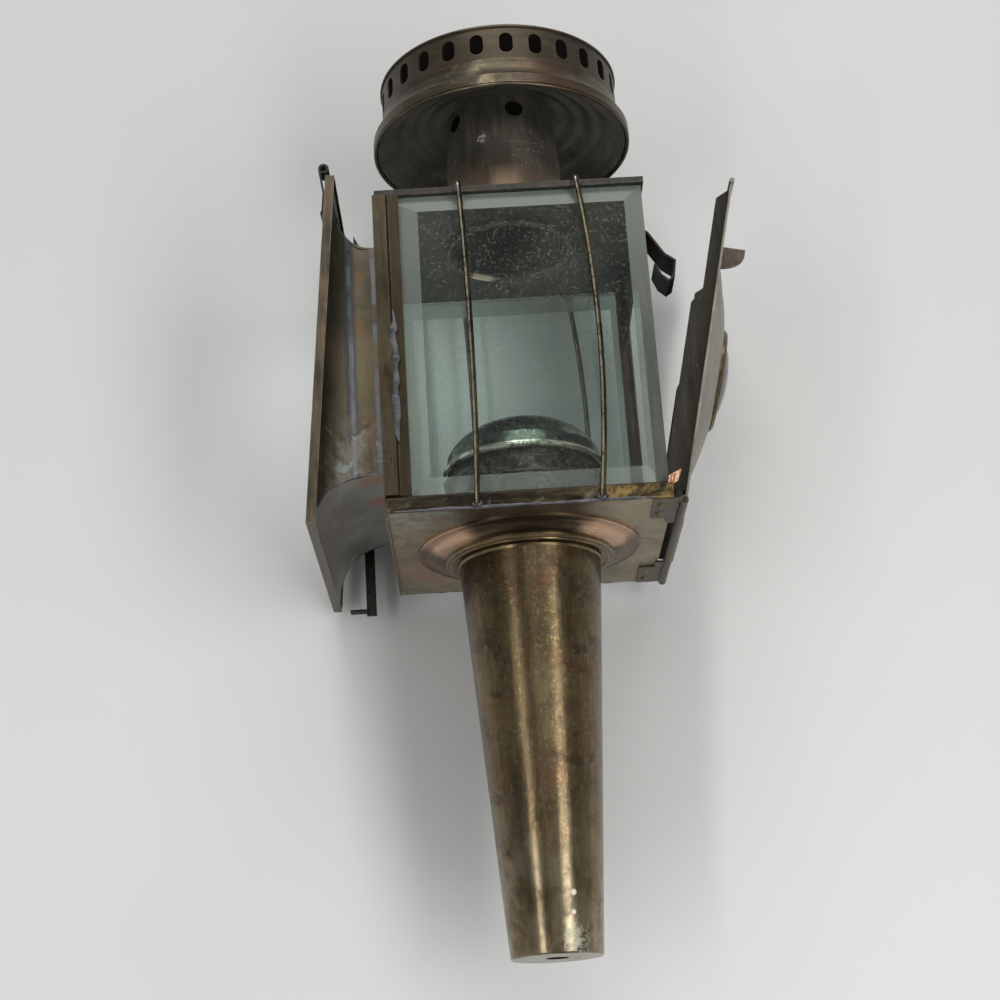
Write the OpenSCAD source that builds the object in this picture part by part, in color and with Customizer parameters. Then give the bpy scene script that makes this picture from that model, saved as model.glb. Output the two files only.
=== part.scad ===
// Candle carriage lamp: square lantern with two bevelled panes, a flared hood
// on its front side, a drop-down rear door, a vented chimney crown and a
// tapered stem that holds the spring-fed candle.
// Origin: centre of the hole in the stem's bottom end. +Z up, -Y is the side
// pane seen in front view, -X is the hood, +X is the rear door.

/* [Lantern body] */
// Outer width of the lantern, hood side to door side
body_w = 102; // [85:1:130]
// Outer depth of the lantern, pane to pane
body_d = 100; // [83:1:125]
// Height of the lantern from base to roof
body_h = 127; // [105:1:160]
// Sheet thickness of all folded and spun metal
sheet = 0.8; // [0.6:0.01:1]
// Height of the base pan's turned-up edge
pan_h = 5; // [4:0.5:7]
// Height of the roof's turned-up edge
roof_edge_h = 1.6; // [1:0.2:2.4]
// Width of the corner posts
post_w = 4; // [3:0.5:6]

/* [Panes] */
// Thickness of the glass panes
glass_t = 3; // [2.5:0.1:3.6]
// Width of the bevel around each pane
bevel_w = 7; // [4:0.5:9]
// How much the bevel thins the pane at its edge
bevel_drop = 1.6; // [0.8:0.1:2]
// Width of the channel that grips a pane beside the hood
stile_w = 9; // [8:0.5:12]
// Clearance between pieces that are soldered or slipped together
seat_gap = 0.1; // [0.05:0.01:0.2]

/* [Guard wires] */
// Diameter of the guard wires
wire_d = 2.1; // [1.6:0.1:2.6]
// Place of the left guard wire along the pane
wire_left_x = -19; // [-26:0.2:-14]
// Sideways bow of the left guard wire at mid height
wire_left_bow = 1.4; // [1:0.2:5]
// Place of the right guard wire along the pane
wire_right_x = 25.5; // [16:0.5:30]
// Sideways bow of the right guard wire at mid height
wire_right_bow = 4; // [1:0.2:5]
// Length of the wires' turned-in ends on the roof
wire_lap = 5; // [3:0.5:8]
// Height of the wires' lower ends above the base
wire_low = 1.5; // [0.5:0.1:3]

/* [Hood] */
// Distance of the hood's throat from the lantern's pane sides
throat_side = 8; // [7:0.5:12]
// Height of the throat's lower edge above the base
throat_low = 18.5; // [15:0.5:24]
// Distance of the throat's upper edge below the roof
throat_down = 17.4; // [14:0.2:24]
// Width of the rebate that the hood's pane rests on
throat_rebate = 2.5; // [2:0.5:4]
// Width of the flange that joins the hood to the lantern
hood_flange_w = 5; // [4:0.5:6]
// How far the hood's flange hangs below the base
flange_drop = 1.5; // [1:0.1:2]
// How far the hood's rim stands out past the lantern's pane sides
rim_over = 7; // [4:0.5:12]
// Height of the rim's lower edge, from the base
rim_low = -4; // [-8:0.5:0]
// Height of the rim's upper edge above the roof
rim_up = 6; // [2:0.5:12]
// Reach of the hood at the rim's lower edge
reach_low = 25; // [20:0.5:30]
// Reach of the hood at the rim's upper edge
reach_high = 14.2; // [11:0.2:20]
// Depth of the rim's edge
rim_depth = 3.4; // [2.6:0.2:5]
// Width of the rim's flat lip
rim_lip = 3; // [2:0.5:5]
// Width of a spring clip on the rim
clip_w = 6; // [4:0.5:8]
// How far a spring clip stands above the rim
clip_up = 4; // [2:0.5:6]
// How far a spring clip stands off the rim at its top
clip_off = 2.2; // [1.5:0.1:3]

/* [Rear door] */
// How far the door stands open in the rest pose, in degrees
door_open = 13; // [0:1:30]
// Distance of the hinge axis from the lantern's side
hinge_out = 3.6; // [3:0.2:5]
// Radius of the hinge barrels
barrel_r = 1.6; // [1.4:0.1:2]
// Radius of the hinge pin
pin_r = 0.8; // [0.6:0.05:1]
// Running clearance of the pin in the door's barrel
pin_gap = 0.07; // [0.03:0.01:0.1]
// Half length of the door's barrel
door_barrel_y = 23.9; // [16:0.1:28]
// Length of the two hinge straps along the base's edge
strap_w = 20; // [10:0.5:20]
// How far the closed door stands above the roof
door_over = 3; // [2:0.2:8]
// Distance of the door panel's sides from the lantern's pane sides
door_side = 2; // [1:0.5:4]
// Distance of the inner tray's sides from the lantern's pane sides
tray_side = 8; // [7:0.5:14]
// Depth of the inner tray's front wall where it enters the doorway
tray_deep = 8; // [7:0.2:11]
// Depth of the inner tray's back wall there
tray_deep_back = 6.2; // [5.6:0.2:11]
// Height of the step in the tray's side, from the base
tray_step = 80; // [66:1:90]
// Distance of the doorway's top below the roof
doorway_down = 18; // [15:0.5:30]
// Distance of the dished disc's edge from the door panel's sides
dish_side = 1; // [0.5:0.5:8]
// Height of the dished disc's rise
dish_rise = 8; // [4:0.5:9]
// Height of the dished disc's centre above the panel's middle
dish_up = 2.6; // [0:0.2:8]
// Radius of the hole that the rear lens looks through
lens_hole_r = 15.6; // [12:0.2:19]
// Width of the lens bezel
bezel_w = 4.4; // [3:0.2:6]
// Height of the lens bezel
bezel_h = 1.8; // [1.2:0.2:3]
// Reach of the thumb tab
tab_reach = 11; // [7:0.5:13]

/* [Door catch] */
// Width of the catch strap
catch_w = 14; // [10:1:16]
// Place of the catch along the doorway
catch_y = -20; // [-24:1:-18]
// Distance of the catch's root below the roof
catch_down = 8.5; // [7:0.5:12]

/* [Chimney and crown] */
// Outer radius of the chimney at the roof
neck_r = 24.5; // [20:0.1:30]
// How much narrower the chimney is at its top
neck_taper = 2.9; // [1:0.1:5]
// Height of the chimney's lower piece
neck_low_h = 35; // [28:1:42]
// Height of the chimney above the roof
neck_h = 61; // [50:1:75]
// Radius of the air holes in the chimney
neck_hole_r = 3.7; // [2.5:0.1:4.5]
// Number of air holes in the chimney
neck_holes = 5; // [4:1:8]
// Outer radius of the slotted band
band_r = 48.2; // [40:0.2:58]
// How far the crown's rim stands out past the slotted band
rim_flare = 4.3; // [2:0.1:8]
// How far the crown's rim hangs below the chimney's top
crown_drop = 17.8; // [14:0.2:22]
// Height of the crown's straight rim band
skirt_band = 5.2; // [3:0.2:7]
// Height of the crown's curved flare
skirt_flare = 7.8; // [5:0.2:10]
// Number of vent slots
slots = 26; // [20:1:28]
// Width of a vent slot
slot_w = 5.4; // [4.4:0.2:6]
// Height of a vent slot
slot_h = 8.9; // [7:0.1:11]
// Sheet left above and below a vent slot
slot_edge = 2.6; // [1.5:0.1:5]
// Rise of the domed cap
cap_rise = 9; // [6:0.5:14]

/* [Base and socket] */
// Distance of the moulding's edge from the nearer sides of the base
mould_side = 7.8; // [4:0.2:9]
// Height of the moulding under the base
mould_h = 4; // [3:0.2:6]
// Bore radius of the stem's socket
socket_r = 25.7; // [21:0.1:31]
// Length of the socket above the base
socket_up = 10; // [8:0.5:12]
// Width of the socket's collar
collar_w = 6.4; // [4:0.1:7]
// Thickness of the socket's collar
collar_t = 1.4; // [1:0.1:2]
// Radial clearance of the stem in its socket
socket_gap = 0.08; // [0.04:0.01:0.1]

/* [Stem and candle] */
// Length of the tapered stem
stem_len = 144.9; // [120:0.1:175]
// How far the stem's top stands out past the socket's bore
stem_step = 1.1; // [0.9:0.1:3]
// Outer radius of the stem at its bottom end
stem_end_r = 16.6; // [15:0.1:20]
// Radius of the hole in the bottom end
end_hole_r = 4.2; // [3:0.1:6]
// Thickness of the bottom end
end_t = 1.2; // [0.8:0.1:3]
// Height of the stem's shoulder bead
shoulder_h = 1.6; // [1.2:0.1:3]
// Gap between the shoulder and the collar
stop_gap = 0.1; // [0.05:0.01:0.3]
// Inner radius of the candle tube
tube_r = 11.6; // [9.6:0.1:14]
// Height of the candle tube's mouth above the base
tube_up = 46.5; // [38:0.5:56]
// Radial clearance of the candle in its tube
candle_gap = 0.8; // [0.5:0.1:1.5]
// Length of the candle
candle_len = 102; // [60:1:123]
// Width of the nozzle's lip over the candle tube
nozzle_lip = 3.6; // [2.5:0.1:5]
// Drop of the candle's shoulder below the nozzle
candle_drop = 1.8; // [1.5:0.1:3]
// Clearance between the feed spring and the candle tube
coil_gap = 1.2; // [0.6:0.1:3]
// Radius of the feed spring's wire
coil_wire_r = 0.8; // [0.5:0.1:1]
// Turns of the feed spring
coil_turns = 12; // [8:1:16]

/* [Wind dish] */
// Distance of the gallery's outer face from the socket's bore
gallery_out = 2.3; // [1.9:0.1:4]
// How far the wind dish stands out past its gallery
dome_over = 2.5; // [1:0.1:6]
// How far the wind dish's crown stands above the candle tube's mouth
dome_clear = 4.5; // [3.9:0.1:8]
// Rise of the wind dish
dome_rise = 20; // [16:0.5:24]
// Radius of the hole in the wind dish
dome_hole_r = 7; // [5:0.5:9]

/* [Hidden] */
$fn = 96;

// Overcut for clean subtraction
cut = 1;
half_w = body_w / 2;
half_d = body_d / 2;
roof_z = body_h;
roof_top = body_h + sheet;
// Height of the lantern's base above the origin
base_z = stem_len + shoulder_h + stop_gap + mould_h + collar_t;
// Inner faces of the pan and of the side walls
pan_in = half_w - sheet;
wall_in = pan_in - sheet;
// Outer and inner faces of the panes
pane_out = half_d - sheet - seat_gap;
pane_in = pane_out - glass_t;
// Outer faces of the folded trim
trim_y = half_d + sheet;
flange_x = -half_w - sheet;

bronze = [0.36, 0.29, 0.2];
old_brass = [0.55, 0.44, 0.26];
copper = [0.5, 0.34, 0.25];
black_iron = [0.12, 0.12, 0.13];
pane_green = [0.72, 0.8, 0.76, 0.4];
ruby = [0.45, 0.05, 0.06, 0.7];

// Unit vector from one point of the plane to the next
function unit(a, b) = (b - a) / norm(b - a);
// Normal of a sheet's outline at point i, lengthened at the bends
function bend(p, i) =
  let (n = len(p),
       a = unit(p[max(i - 1, 0)], p[max(i, 1)]),
       b = unit(p[min(i, n - 2)], p[min(i + 1, n - 1)]),
       m = [-(a[1] + b[1]), a[0] + b[0]])
  m / (m * m) * 2;
// Outline of a folded sheet of thickness t that follows the points p
function fold(p, t) = concat(
  [for (i = [0:len(p) - 1]) p[i] + bend(p, i) * t / 2],
  [for (i = [len(p) - 1:-1:0]) p[i] - bend(p, i) * t / 2]);
// Points of an arc about c, from angle a to angle b
function arc(c, r, a, b, n = 8) =
  [for (i = [0:n]) let (turn = a + (b - a) * i / n) c + r * [cos(turn), sin(turn)]];
// The same points from last to first
function backwards(p) = [for (i = [len(p) - 1:-1:0]) p[i]];

// Moves what is drawn from the lantern's base to the part's origin
module at_base() {
  translate([0, 0, base_z]) children();
}

// What is drawn, and its mirror image on the other pane's side
module both_sides() {
  for (side = [-1, 1]) scale([1, side, 1]) children();
}

// Box between two corners
module span(a, b) {
  translate(a) cube(b - a);
}

// Rod along Y, from y0 to y1, at a place in the X-Z plane
module cross_rod(x, z, r, y0, y1) {
  translate([x, y0, z]) rotate([-90, 0, 0]) cylinder(r = r, h = y1 - y0, $fn = 48);
}

// Prism of an outline in the X-Z plane, from y0 to y1
module side_prism(points, y0, y1) {
  translate([0, y1, 0]) rotate([90, 0, 0]) linear_extrude(height = y1 - y0) polygon(points);
}

// Prism of an outline in the Y-Z plane, from x0 to x1
module cross_prism(points, x0, x1) {
  translate([x0, 0, 0]) rotate([90, 0, 90]) linear_extrude(height = x1 - x0) polygon(points);
}

// Shell of revolution between an outer and an inner outline
module spun(outline) {
  rotate_extrude() polygon(outline);
}

// Ring of round wire lying level
module wire_ring(r, wire, z) {
  translate([0, 0, z]) rotate_extrude() translate([r, 0]) circle(r = wire, $fn = 32);
}

// Radius of a rivet's head, and its rise
rivet_r = 1.5;
rivet_rise = 0.8;

// Round head of a rivet, its flat face at the origin and its crown along +X
module rivet_head() {
  ball = (rivet_r * rivet_r + rivet_rise * rivet_rise) / (2 * rivet_rise);
  crown = arc([0, rivet_rise - ball], ball, asin((ball - rivet_rise) / ball), 90, 6);
  rotate([0, 90, 0]) spun(concat([[0, 0]], crown));
}

// Outer radius of the socket's tube and of the hole that it is soldered into
socket_out = socket_r + sheet;
socket_hole = socket_out + seat_gap;
collar_r = socket_r + collar_w;
mould_r = min(half_w, half_d) - mould_side;
// Heights below the base
collar_z = -mould_h - collar_t;
shoulder_z = collar_z - stop_gap;
stem_top_z = shoulder_z - shoulder_h;

module base_pan() {
  color(copper) at_base() difference() {
    span([-half_w, -half_d, 0], [half_w, half_d, pan_h]);
    span([-pan_in, -half_d + sheet, sheet], [pan_in, half_d - sheet, pan_h + cut]);
    translate([0, 0, -cut]) cylinder(r = socket_hole, h = sheet + 2 * cut);
  }
}

// Steps of the spun moulding: share of its width, share of its height
mould_steps = [
  [1, 0], [0.99, 0.2], [0.93, 0.26], [0.8, 0.24], [0.66, 0.28], [0.56, 0.38],
  [0.51, 0.52], [0.44, 0.66], [0.32, 0.82], [0.16, 0.94], [0, 1]
];
// Radius of the moulding's foot, covered by the collar
mould_foot = collar_r - 0.3;

module base_moulding() {
  steps = [for (s = mould_steps) [mould_foot + (mould_r - mould_foot) * s[0], -mould_h * s[1]]];
  color(copper) at_base() spun(concat([[socket_hole, 0]], steps, [[socket_hole, -mould_h]]));
}

// Chamfer of the collar's lower edge, and the bead turned in its lower face
collar_edge = 0.6;
collar_bead = 0.5;
collar_bead_in = 2.4;
bead_sink = 0.2;

module stem_socket() {
  color(old_brass) at_base() {
    spun([
      [socket_r, collar_z],
      [collar_r - collar_edge, collar_z],
      [collar_r, collar_z + collar_edge],
      [collar_r, -mould_h],
      [socket_out, -mould_h],
      [socket_out, socket_up],
      [socket_r, socket_up]
    ]);
    rotate_extrude() translate([collar_r - collar_bead_in, collar_z]) intersection() {
      circle(r = collar_bead, $fn = 24);
      translate([-cut, -cut]) square([2 * cut, cut + bead_sink]);
    }
  }
}

module corner_posts() {
  outer = -pane_in;
  inner = outer + sheet;
  color(bronze) at_base() both_sides() {
    // Hood side posts are full angles
    span([-wall_in, outer, sheet], [-wall_in + post_w, inner, roof_z]);
    span([-wall_in, inner, sheet], [-wall_in + sheet, inner + post_w, roof_z]);
    // Door side posts stop short of the doorway
    span([wall_in - post_w, outer, sheet], [wall_in, inner, roof_z]);
  }
}

// Throat of the hood
throat_y = half_d - throat_side;
throat_high = roof_z - throat_down;

// Hole through which the light leaves towards the hood
module throat_hole(x0, x1) {
  y = throat_y - throat_rebate;
  span([x0, -y, throat_low + throat_rebate], [x1, y, throat_high - throat_rebate]);
}

module hood_wall() {
  color(bronze) at_base() difference() {
    span([-pan_in, -pane_in, sheet], [-wall_in, pane_in, roof_z]);
    throat_hole(-pan_in - cut, -wall_in + cut);
  }
}

// Inner tray of the door, and the doorway that it enters with its clearance
tray_y = half_d - tray_side;
doorway_gap = 0.6;
doorway_y = tray_y + doorway_gap;
doorway_high = roof_z - doorway_down;

module door_wall() {
  color(bronze) at_base() difference() {
    span([wall_in, -pane_in, sheet], [pan_in, pane_in, roof_z]);
    span([wall_in - cut, -doorway_y, pan_h], [pan_in + cut, doorway_y, doorway_high]);
  }
}

module roof_plate() {
  edge = roof_top + roof_edge_h;
  color(copper) at_base() difference() {
    span([-half_w, -half_d, roof_z], [half_w, half_d, edge]);
    span([-pan_in, -half_d + sheet, roof_top], [pan_in, half_d - sheet, edge + cut]);
    translate([0, 0, roof_z - cut]) cylinder(r = neck_r - sheet, h = sheet + 2 * cut);
  }
}

// Radius of the wire ring under the roof's hole
ceiling_wire = 1.3;

module ceiling_ring() {
  color(bronze) at_base() wire_ring(neck_r, ceiling_wire, roof_z - ceiling_wire);
}

// Bevelled pane lying in the X-Y plane, bevel upwards; in_x and in_y are what
// the channels cover of its low edges
module pane(x0, x1, y0, y1, in_x = 0, in_y = 0) {
  b = bevel_w;
  hull() {
    span([x0, y0, 0], [x1, y1, glass_t - bevel_drop]);
    span([x0 + in_x + b, y0 + in_y + b, 0], [x1 - b, y1 - b, glass_t]);
  }
}

// Height of the panes' lower edge over the pan's floor
pane_lift = 0.4;
// Strip over the pan's edge: heights of its fold and of its lip above the edge,
// and the distance of its lip from the pane
sill_fold = 0.3;
sill_lip = 1.1;
sill_off = seat_gap + sheet / 3;

// Side pane with its bevel outwards
module side_pane() {
  x0 = -wall_in + seat_gap;
  z0 = sheet + pane_lift;
  translate([0, -pane_in, 0]) rotate([90, 0, 0])
    pane(x0, pan_in - seat_gap, z0, roof_z - seat_gap, stile_w - half_w - x0, pan_h + sill_lip - z0);
}

module front_glass() {
  color(pane_green) at_base() side_pane();
}

module back_glass() {
  color(pane_green) at_base() mirror([0, 1, 0]) side_pane();
}

// Channel beside the hood: height of its foot over the pan's edge, distance of
// its ridge from the corner, how far the ridge stands proud, and its turned end
stile_foot = 1.8;
stile_ridge = 4;
stile_proud = 0.2;
stile_turn = 2.6;

// Channel that grips the hood side edge of a side pane
module stile() {
  low = pan_h + stile_foot;
  face = -pane_out - seat_gap - sheet / 2;
  ridge = -trim_y + sheet / 2 - stile_proud;
  translate([0, 0, low]) linear_extrude(height = roof_z - low) polygon(fold([
    [-half_w + stile_w, face],
    [-half_w + stile_ridge + sheet, face],
    [-half_w + stile_ridge, ridge],
    [-half_w - sheet / 2, ridge],
    [-half_w - sheet / 2, -half_d + stile_turn]
  ], sheet));
}

module front_stile() {
  color(old_brass) at_base() stile();
}

module back_stile() {
  color(old_brass) at_base() mirror([0, 1, 0]) stile();
}

// Strip folded over the pan's edge and the foot of a side pane
module sill() {
  face = -trim_y + sheet / 2;
  cross_prism(fold([
    [face, 0],
    [face, pan_h + sill_fold],
    [-pane_out - sill_off, pan_h + sill_lip]
  ], sheet), -half_w, half_w);
}

module front_sill() {
  color(old_brass) at_base() sill();
}

module back_sill() {
  color(old_brass) at_base() mirror([0, 1, 0]) sill();
}

// Guard wire over a side pane: a bowed rod, an elbow at its top and an end laid
// on the roof; side is -1 for the front pane and 1 for the back pane
module guard_wire(x, bow, side) {
  y = side * (trim_y + wire_d / 2);
  elbow = wire_d;
  high = roof_top + roof_edge_h + wire_d / 2 - elbow;
  chord = high - wire_low;
  swing = (chord * chord / 4 + bow * bow) / (2 * bow);
  lean = asin(chord / 2 / swing);
  translate([x + bow - swing, y, (wire_low + high) / 2]) rotate([90, 0, 0]) rotate([0, 0, -lean])
    rotate_extrude(angle = 2 * lean, $fn = 720) translate([swing, 0]) circle(d = wire_d, $fn = 24);
  translate([x, y, high]) rotate([0, -lean, 0]) rotate([0, 0, side > 0 ? 180 : 0]) {
    translate([0, elbow, 0]) rotate([-90, 0, 0]) rotate([0, -90, 0]) rotate([0, 0, 180])
      rotate_extrude(angle = 90) translate([elbow, 0]) circle(d = wire_d, $fn = 24);
    translate([0, elbow, elbow]) rotate([-90, 0, 0]) cylinder(d = wire_d, h = wire_lap, $fn = 24);
  }
}

module wire_pair(side) {
  guard_wire(wire_left_x, wire_left_bow, side);
  guard_wire(wire_right_x, wire_right_bow, side);
}

module front_wires() {
  color(old_brass) at_base() wire_pair(-1);
}

module back_wires() {
  color(old_brass) at_base() wire_pair(1);
}

module hood_flange() {
  y = throat_y + hood_flange_w;
  color(copper) at_base() difference() {
    span([flange_x, -y, -flange_drop], [-half_w, y, throat_high + hood_flange_w]);
    throat_hole(flange_x - cut, -half_w + cut);
  }
}

// Room round the hood's pane inside the throat
pane_room = 0.3;
hood_pane_y = throat_y - sheet - pane_room;
hood_pane_low = throat_low + sheet + pane_room;
hood_pane_high = throat_high - sheet - pane_room;

module hood_glass() {
  color(pane_green) at_base() translate([flange_x, 0, 0]) rotate([0, -90, 0])
    pane(hood_pane_low, hood_pane_high, -hood_pane_y, hood_pane_y);
}

// Width and depth of the beads that hold the hood's pane
bead_w = 2;
bead_t = 1;

module hood_beads() {
  x0 = flange_x - glass_t - bead_t;
  x1 = flange_x - glass_t;
  y = hood_pane_y - bead_w;
  color(old_brass) at_base() {
    both_sides() span([x0, -hood_pane_y, hood_pane_low], [x1, -y, hood_pane_high]);
    span([x0, -y, hood_pane_low], [x1, y, hood_pane_low + bead_w]);
    span([x0, -y, hood_pane_high - bead_w], [x1, y, hood_pane_high]);
  }
}

// Hood rim plane, tilted so that it meets both reaches
rim_y = half_d + rim_over;
rim_in_y = rim_y - sheet;
rim_in_low = rim_low + sheet;
rim_in_high = roof_z + rim_up - sheet;
rim_mid = (rim_in_low + rim_in_high) / 2;
rim_tilt = atan((reach_low - reach_high) / (rim_in_high - rim_in_low));
reach_mid = (reach_low + reach_high) / 2;
rim_mid_x = flange_x - reach_mid;

// Roundness of the hood's curve: 1 is a quarter of an ellipse, less is squarer
cove_round = 0.8;
// Share of the flare and of the reach at step u of the cove, 0 at the throat
function flare_at(u) = 1 - pow(cos(90 * u), cove_round);
function reach_at(u) = pow(sin(90 * u), cove_round);
// Corner of the hood at step u: sy and sz pick the side, inset moves it inside
function cove_corner(u, sy, sz, inset) =
  let (dy = rim_in_y - seat_gap - throat_y,
       dz = (sz > 0 ? rim_in_high - throat_high : throat_low - rim_in_low) - seat_gap,
       z = sz > 0 ? throat_high + dz * flare_at(u) : throat_low - dz * flare_at(u),
       reach = rim_mid_x + tan(rim_tilt) * (z - rim_mid) - flange_x,
       out = reach_mid * pow(cos(90 * u), 2 - cove_round),
       up = dz * pow(sin(90 * u), 2 - cove_round),
       n = norm([out, up]))
  [flange_x + reach * reach_at(u) - inset * up / n,
   sy * (throat_y + dy * flare_at(u) - inset * out / n),
   z - sz * inset * out / n];

cove_steps = 28;

// One curved side of the hood between two of its corners
module cove(a, b) {
  rings = [for (i = [0:cove_steps]) let (u = i / cove_steps) [
    cove_corner(u, a[0], a[1], 0), cove_corner(u, b[0], b[1], 0),
    cove_corner(u, b[0], b[1], sheet), cove_corner(u, a[0], a[1], sheet)]];
  points = [for (ring = rings, p = ring) p];
  last = 4 * cove_steps;
  walls = [for (i = [0:cove_steps - 1], k = [0:3])
    let (p = 4 * i + k, q = p + 4, r = 4 * i + 4 + (k + 1) % 4, t = r - 4)
    each k == 3 ? [[q, r, t], [q, t, p]] : [[p, q, r], [p, r, t]]];
  ends = [[0, 1, 2], [0, 2, 3], [last + 2, last + 1, last], [last + 3, last + 2, last]];
  polyhedron(points, concat(ends, walls));
}

module hood_cove_front() {
  color(bronze) at_base() cove([-1, -1], [-1, 1]);
}

module hood_cove_back() {
  color(bronze) at_base() cove([1, 1], [1, -1]);
}

module hood_cove_top() {
  color(bronze) at_base() cove([-1, 1], [1, 1]);
}

module hood_cove_bottom() {
  color(bronze) at_base() cove([1, -1], [-1, -1]);
}

// Half height of the rim's opening, along its tilt
rim_half = (rim_in_high - rim_in_low) / 2 / cos(rim_tilt);
// Outer face of the rim's lip, in the rim's own frame
rim_face = sheet - rim_depth;

// Draws in the rim's tilted plane: X towards the lantern, Z up along the rim
module at_rim() {
  at_base() translate([rim_mid_x, 0, rim_mid]) rotate([0, rim_tilt, 0]) children();
}

module hood_rim() {
  lip_y = rim_in_y - rim_lip;
  lip_z = rim_half - rim_lip;
  color(bronze) at_rim() difference() {
    span([rim_face, -rim_y, -rim_half - sheet], [sheet, rim_y, rim_half + sheet]);
    span([rim_face + sheet, -rim_in_y, -rim_half], [sheet + cut, rim_in_y, rim_half]);
    span([rim_face - cut, -lip_y, -lip_z], [rim_face + 2 * cut, lip_y, lip_z]);
  }
}

// Spring clips: distance from the lip's inner edge, radius of the curled top,
// and heights of the foot, the rivet and the bend below the rim's upper edge
clip_in = 0.5;
clip_y = rim_in_y - rim_lip - clip_in;
clip_curl = 1.6;
clip_curl_up = 0.4;
clip_foot = 16;
clip_rivet = 13;
clip_bend = 6;

// Spring clip standing off the rim's lip, curled at its top, with its rivet
module rim_clip(y) {
  root = rim_face - sheet / 2;
  top = rim_half + clip_up;
  curl = arc([root - clip_off + clip_curl, top + clip_curl_up], clip_curl, 160, -120);
  line = [[root, rim_half - clip_foot], [root, rim_half - clip_bend], [root - clip_off, top]];
  side_prism(fold(concat(line, curl), sheet), y - clip_w / 2, y + clip_w / 2);
  translate([root - sheet / 2, y, rim_half - clip_rivet]) rotate([0, 180, 0]) rivet_head();
}

module rim_clip_front() {
  color(black_iron) at_rim() rim_clip(-clip_y);
}

module rim_clip_back() {
  color(black_iron) at_rim() rim_clip(clip_y);
}

// Lug on the hood's top: place across, thickness, height, and the steps of the
// cove that it stands between
lug_y = -38;
lug_t = 1;
lug_h = 5.5;
lug_from = 0.16;
lug_to = 0.29;

module hood_lug() {
  foot = cove_corner(lug_from, -1, 1, 0);
  out = cove_corner(lug_to, -1, 1, 0);
  color(black_iron) at_base() side_prism([
    [foot[0], foot[2]],
    [out[0], out[2]],
    [out[0], out[2] + lug_h]
  ], lug_y - lug_t / 2, lug_y + lug_t / 2);
}

// Stay behind the hood: distance of its leg from the flange, width of its bars,
// height of its arm, length below the base, and its foot
stay_out = 13.7;
stay_w = 4;
stay_high = 38;
stay_low = -8.5;
stay_foot = 6.5;
stay_foot_side = 1.5;
stay_foot_z = -7;
stay_foot_t = 1;

module hood_stay() {
  leg_x = flange_x - stay_out;
  y0 = half_d - sheet;
  y1 = half_d;
  color(black_iron) at_base() {
    span([leg_x + stay_w, y0, stay_high - stay_w], [flange_x, y1, stay_high]);
    span([leg_x, y0, stay_low], [leg_x + stay_w, y1, stay_high]);
    span([leg_x - stay_foot, y0 - stay_foot_side, stay_foot_z],
         [leg_x, y1 + stay_foot_side, stay_foot_z + stay_foot_t]);
  }
}

// Hinge axis under the base's edge, and the door's clearance from its barrel
hinge_x = half_w + hinge_out;
hinge_z = -sheet;
door_gap = 0.4;
// Gap between the barrels of the straps and of the door
barrel_gap = 0.3;
strap_y = door_barrel_y + barrel_gap;
// How far the straps reach under the base, and how far the pin stands out
strap_reach = 7;
pin_over = 0.8;
// Play of the pin in the straps' barrels
strap_play = 0.02;

module hinge_straps() {
  color(copper) at_base() both_sides() difference() {
    union() {
      span([half_w - strap_reach, -half_d, -sheet], [half_w, -half_d + strap_w, 0]);
      span([half_w - cut, -half_d, -sheet], [hinge_x, -strap_y, 0]);
      cross_rod(hinge_x, hinge_z, barrel_r, -half_d, -strap_y);
    }
    cross_rod(hinge_x, hinge_z, pin_r + strap_play, -half_d - cut, cut);
  }
}

module hinge_pin() {
  color(black_iron) at_base() cross_rod(hinge_x, hinge_z, pin_r, -half_d - pin_over, half_d + pin_over);
}

// Catch: height of its root, and the plate that it is riveted to
catch_z = roof_z - catch_down;
plate_gap = 1;
plate_up = 6;

module catch_plate() {
  y = catch_w / 2;
  color(black_iron) at_base()
    span([pan_in, catch_y - y, doorway_high + plate_gap], [half_w, catch_y + y, catch_z + plate_up]);
}

// Rivets: distance from the catch plate's sides, height above the catch's root,
// and distance from the door side of the base
rivet_in = 2.6;
rivet_up = 3.4;
strap_rivet_x = 4.5;

module rivets() {
  color(old_brass) at_base() {
    for (side = [-1, 1]) translate([half_w, catch_y + side * (catch_w / 2 - rivet_in), catch_z + rivet_up])
      rivet_head();
    for (side = [-1, 1], share = [0.25, 0.75])
      translate([half_w - strap_rivet_x, side * (half_d - strap_w * share), -sheet])
        rotate([0, 90, 0]) rivet_head();
  }
}

gallery_r = socket_r + gallery_out;
dome_r = gallery_r + dome_over;
dome_z = tube_up + dome_clear - dome_rise;

// Quarter ellipse of a dished disc, from its edge towards the axis
function dome_line(r, rise, z, hole, n = 16) =
  [for (i = [0:n]) let (x = r - (r - hole) * i / n) [x, z + rise * sqrt(max(0, 1 - x * x / (r * r)))]];

// Radius of the wire rolled into the wind dish's edge
dome_wire = 1.1;

module wind_dish() {
  outer = dome_line(dome_r, dome_rise, dome_z, dome_hole_r);
  inner = dome_line(dome_r - sheet, dome_rise - sheet, dome_z, dome_hole_r);
  color(bronze) at_base() {
    spun(concat(outer, backwards(inner)));
    wire_ring(dome_r - sheet / 2, dome_wire, dome_z);
  }
}

// Height at which the gallery's outer edge meets the inside of the wind dish
gallery_top = dome_z + (dome_rise - sheet) * sqrt(1 - pow(gallery_r / (dome_r - sheet), 2)) - seat_gap;
// Gallery: width of its foot, its beads' radius and drops below the dish, and its
// air holes' radius, height and number
gallery_foot = 2.4;
gallery_bead = 0.6;
gallery_bead_down = [2.4, 9.5];
gallery_hole_r = 3;
gallery_hole_z = 12;
gallery_holes = 8;

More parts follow.
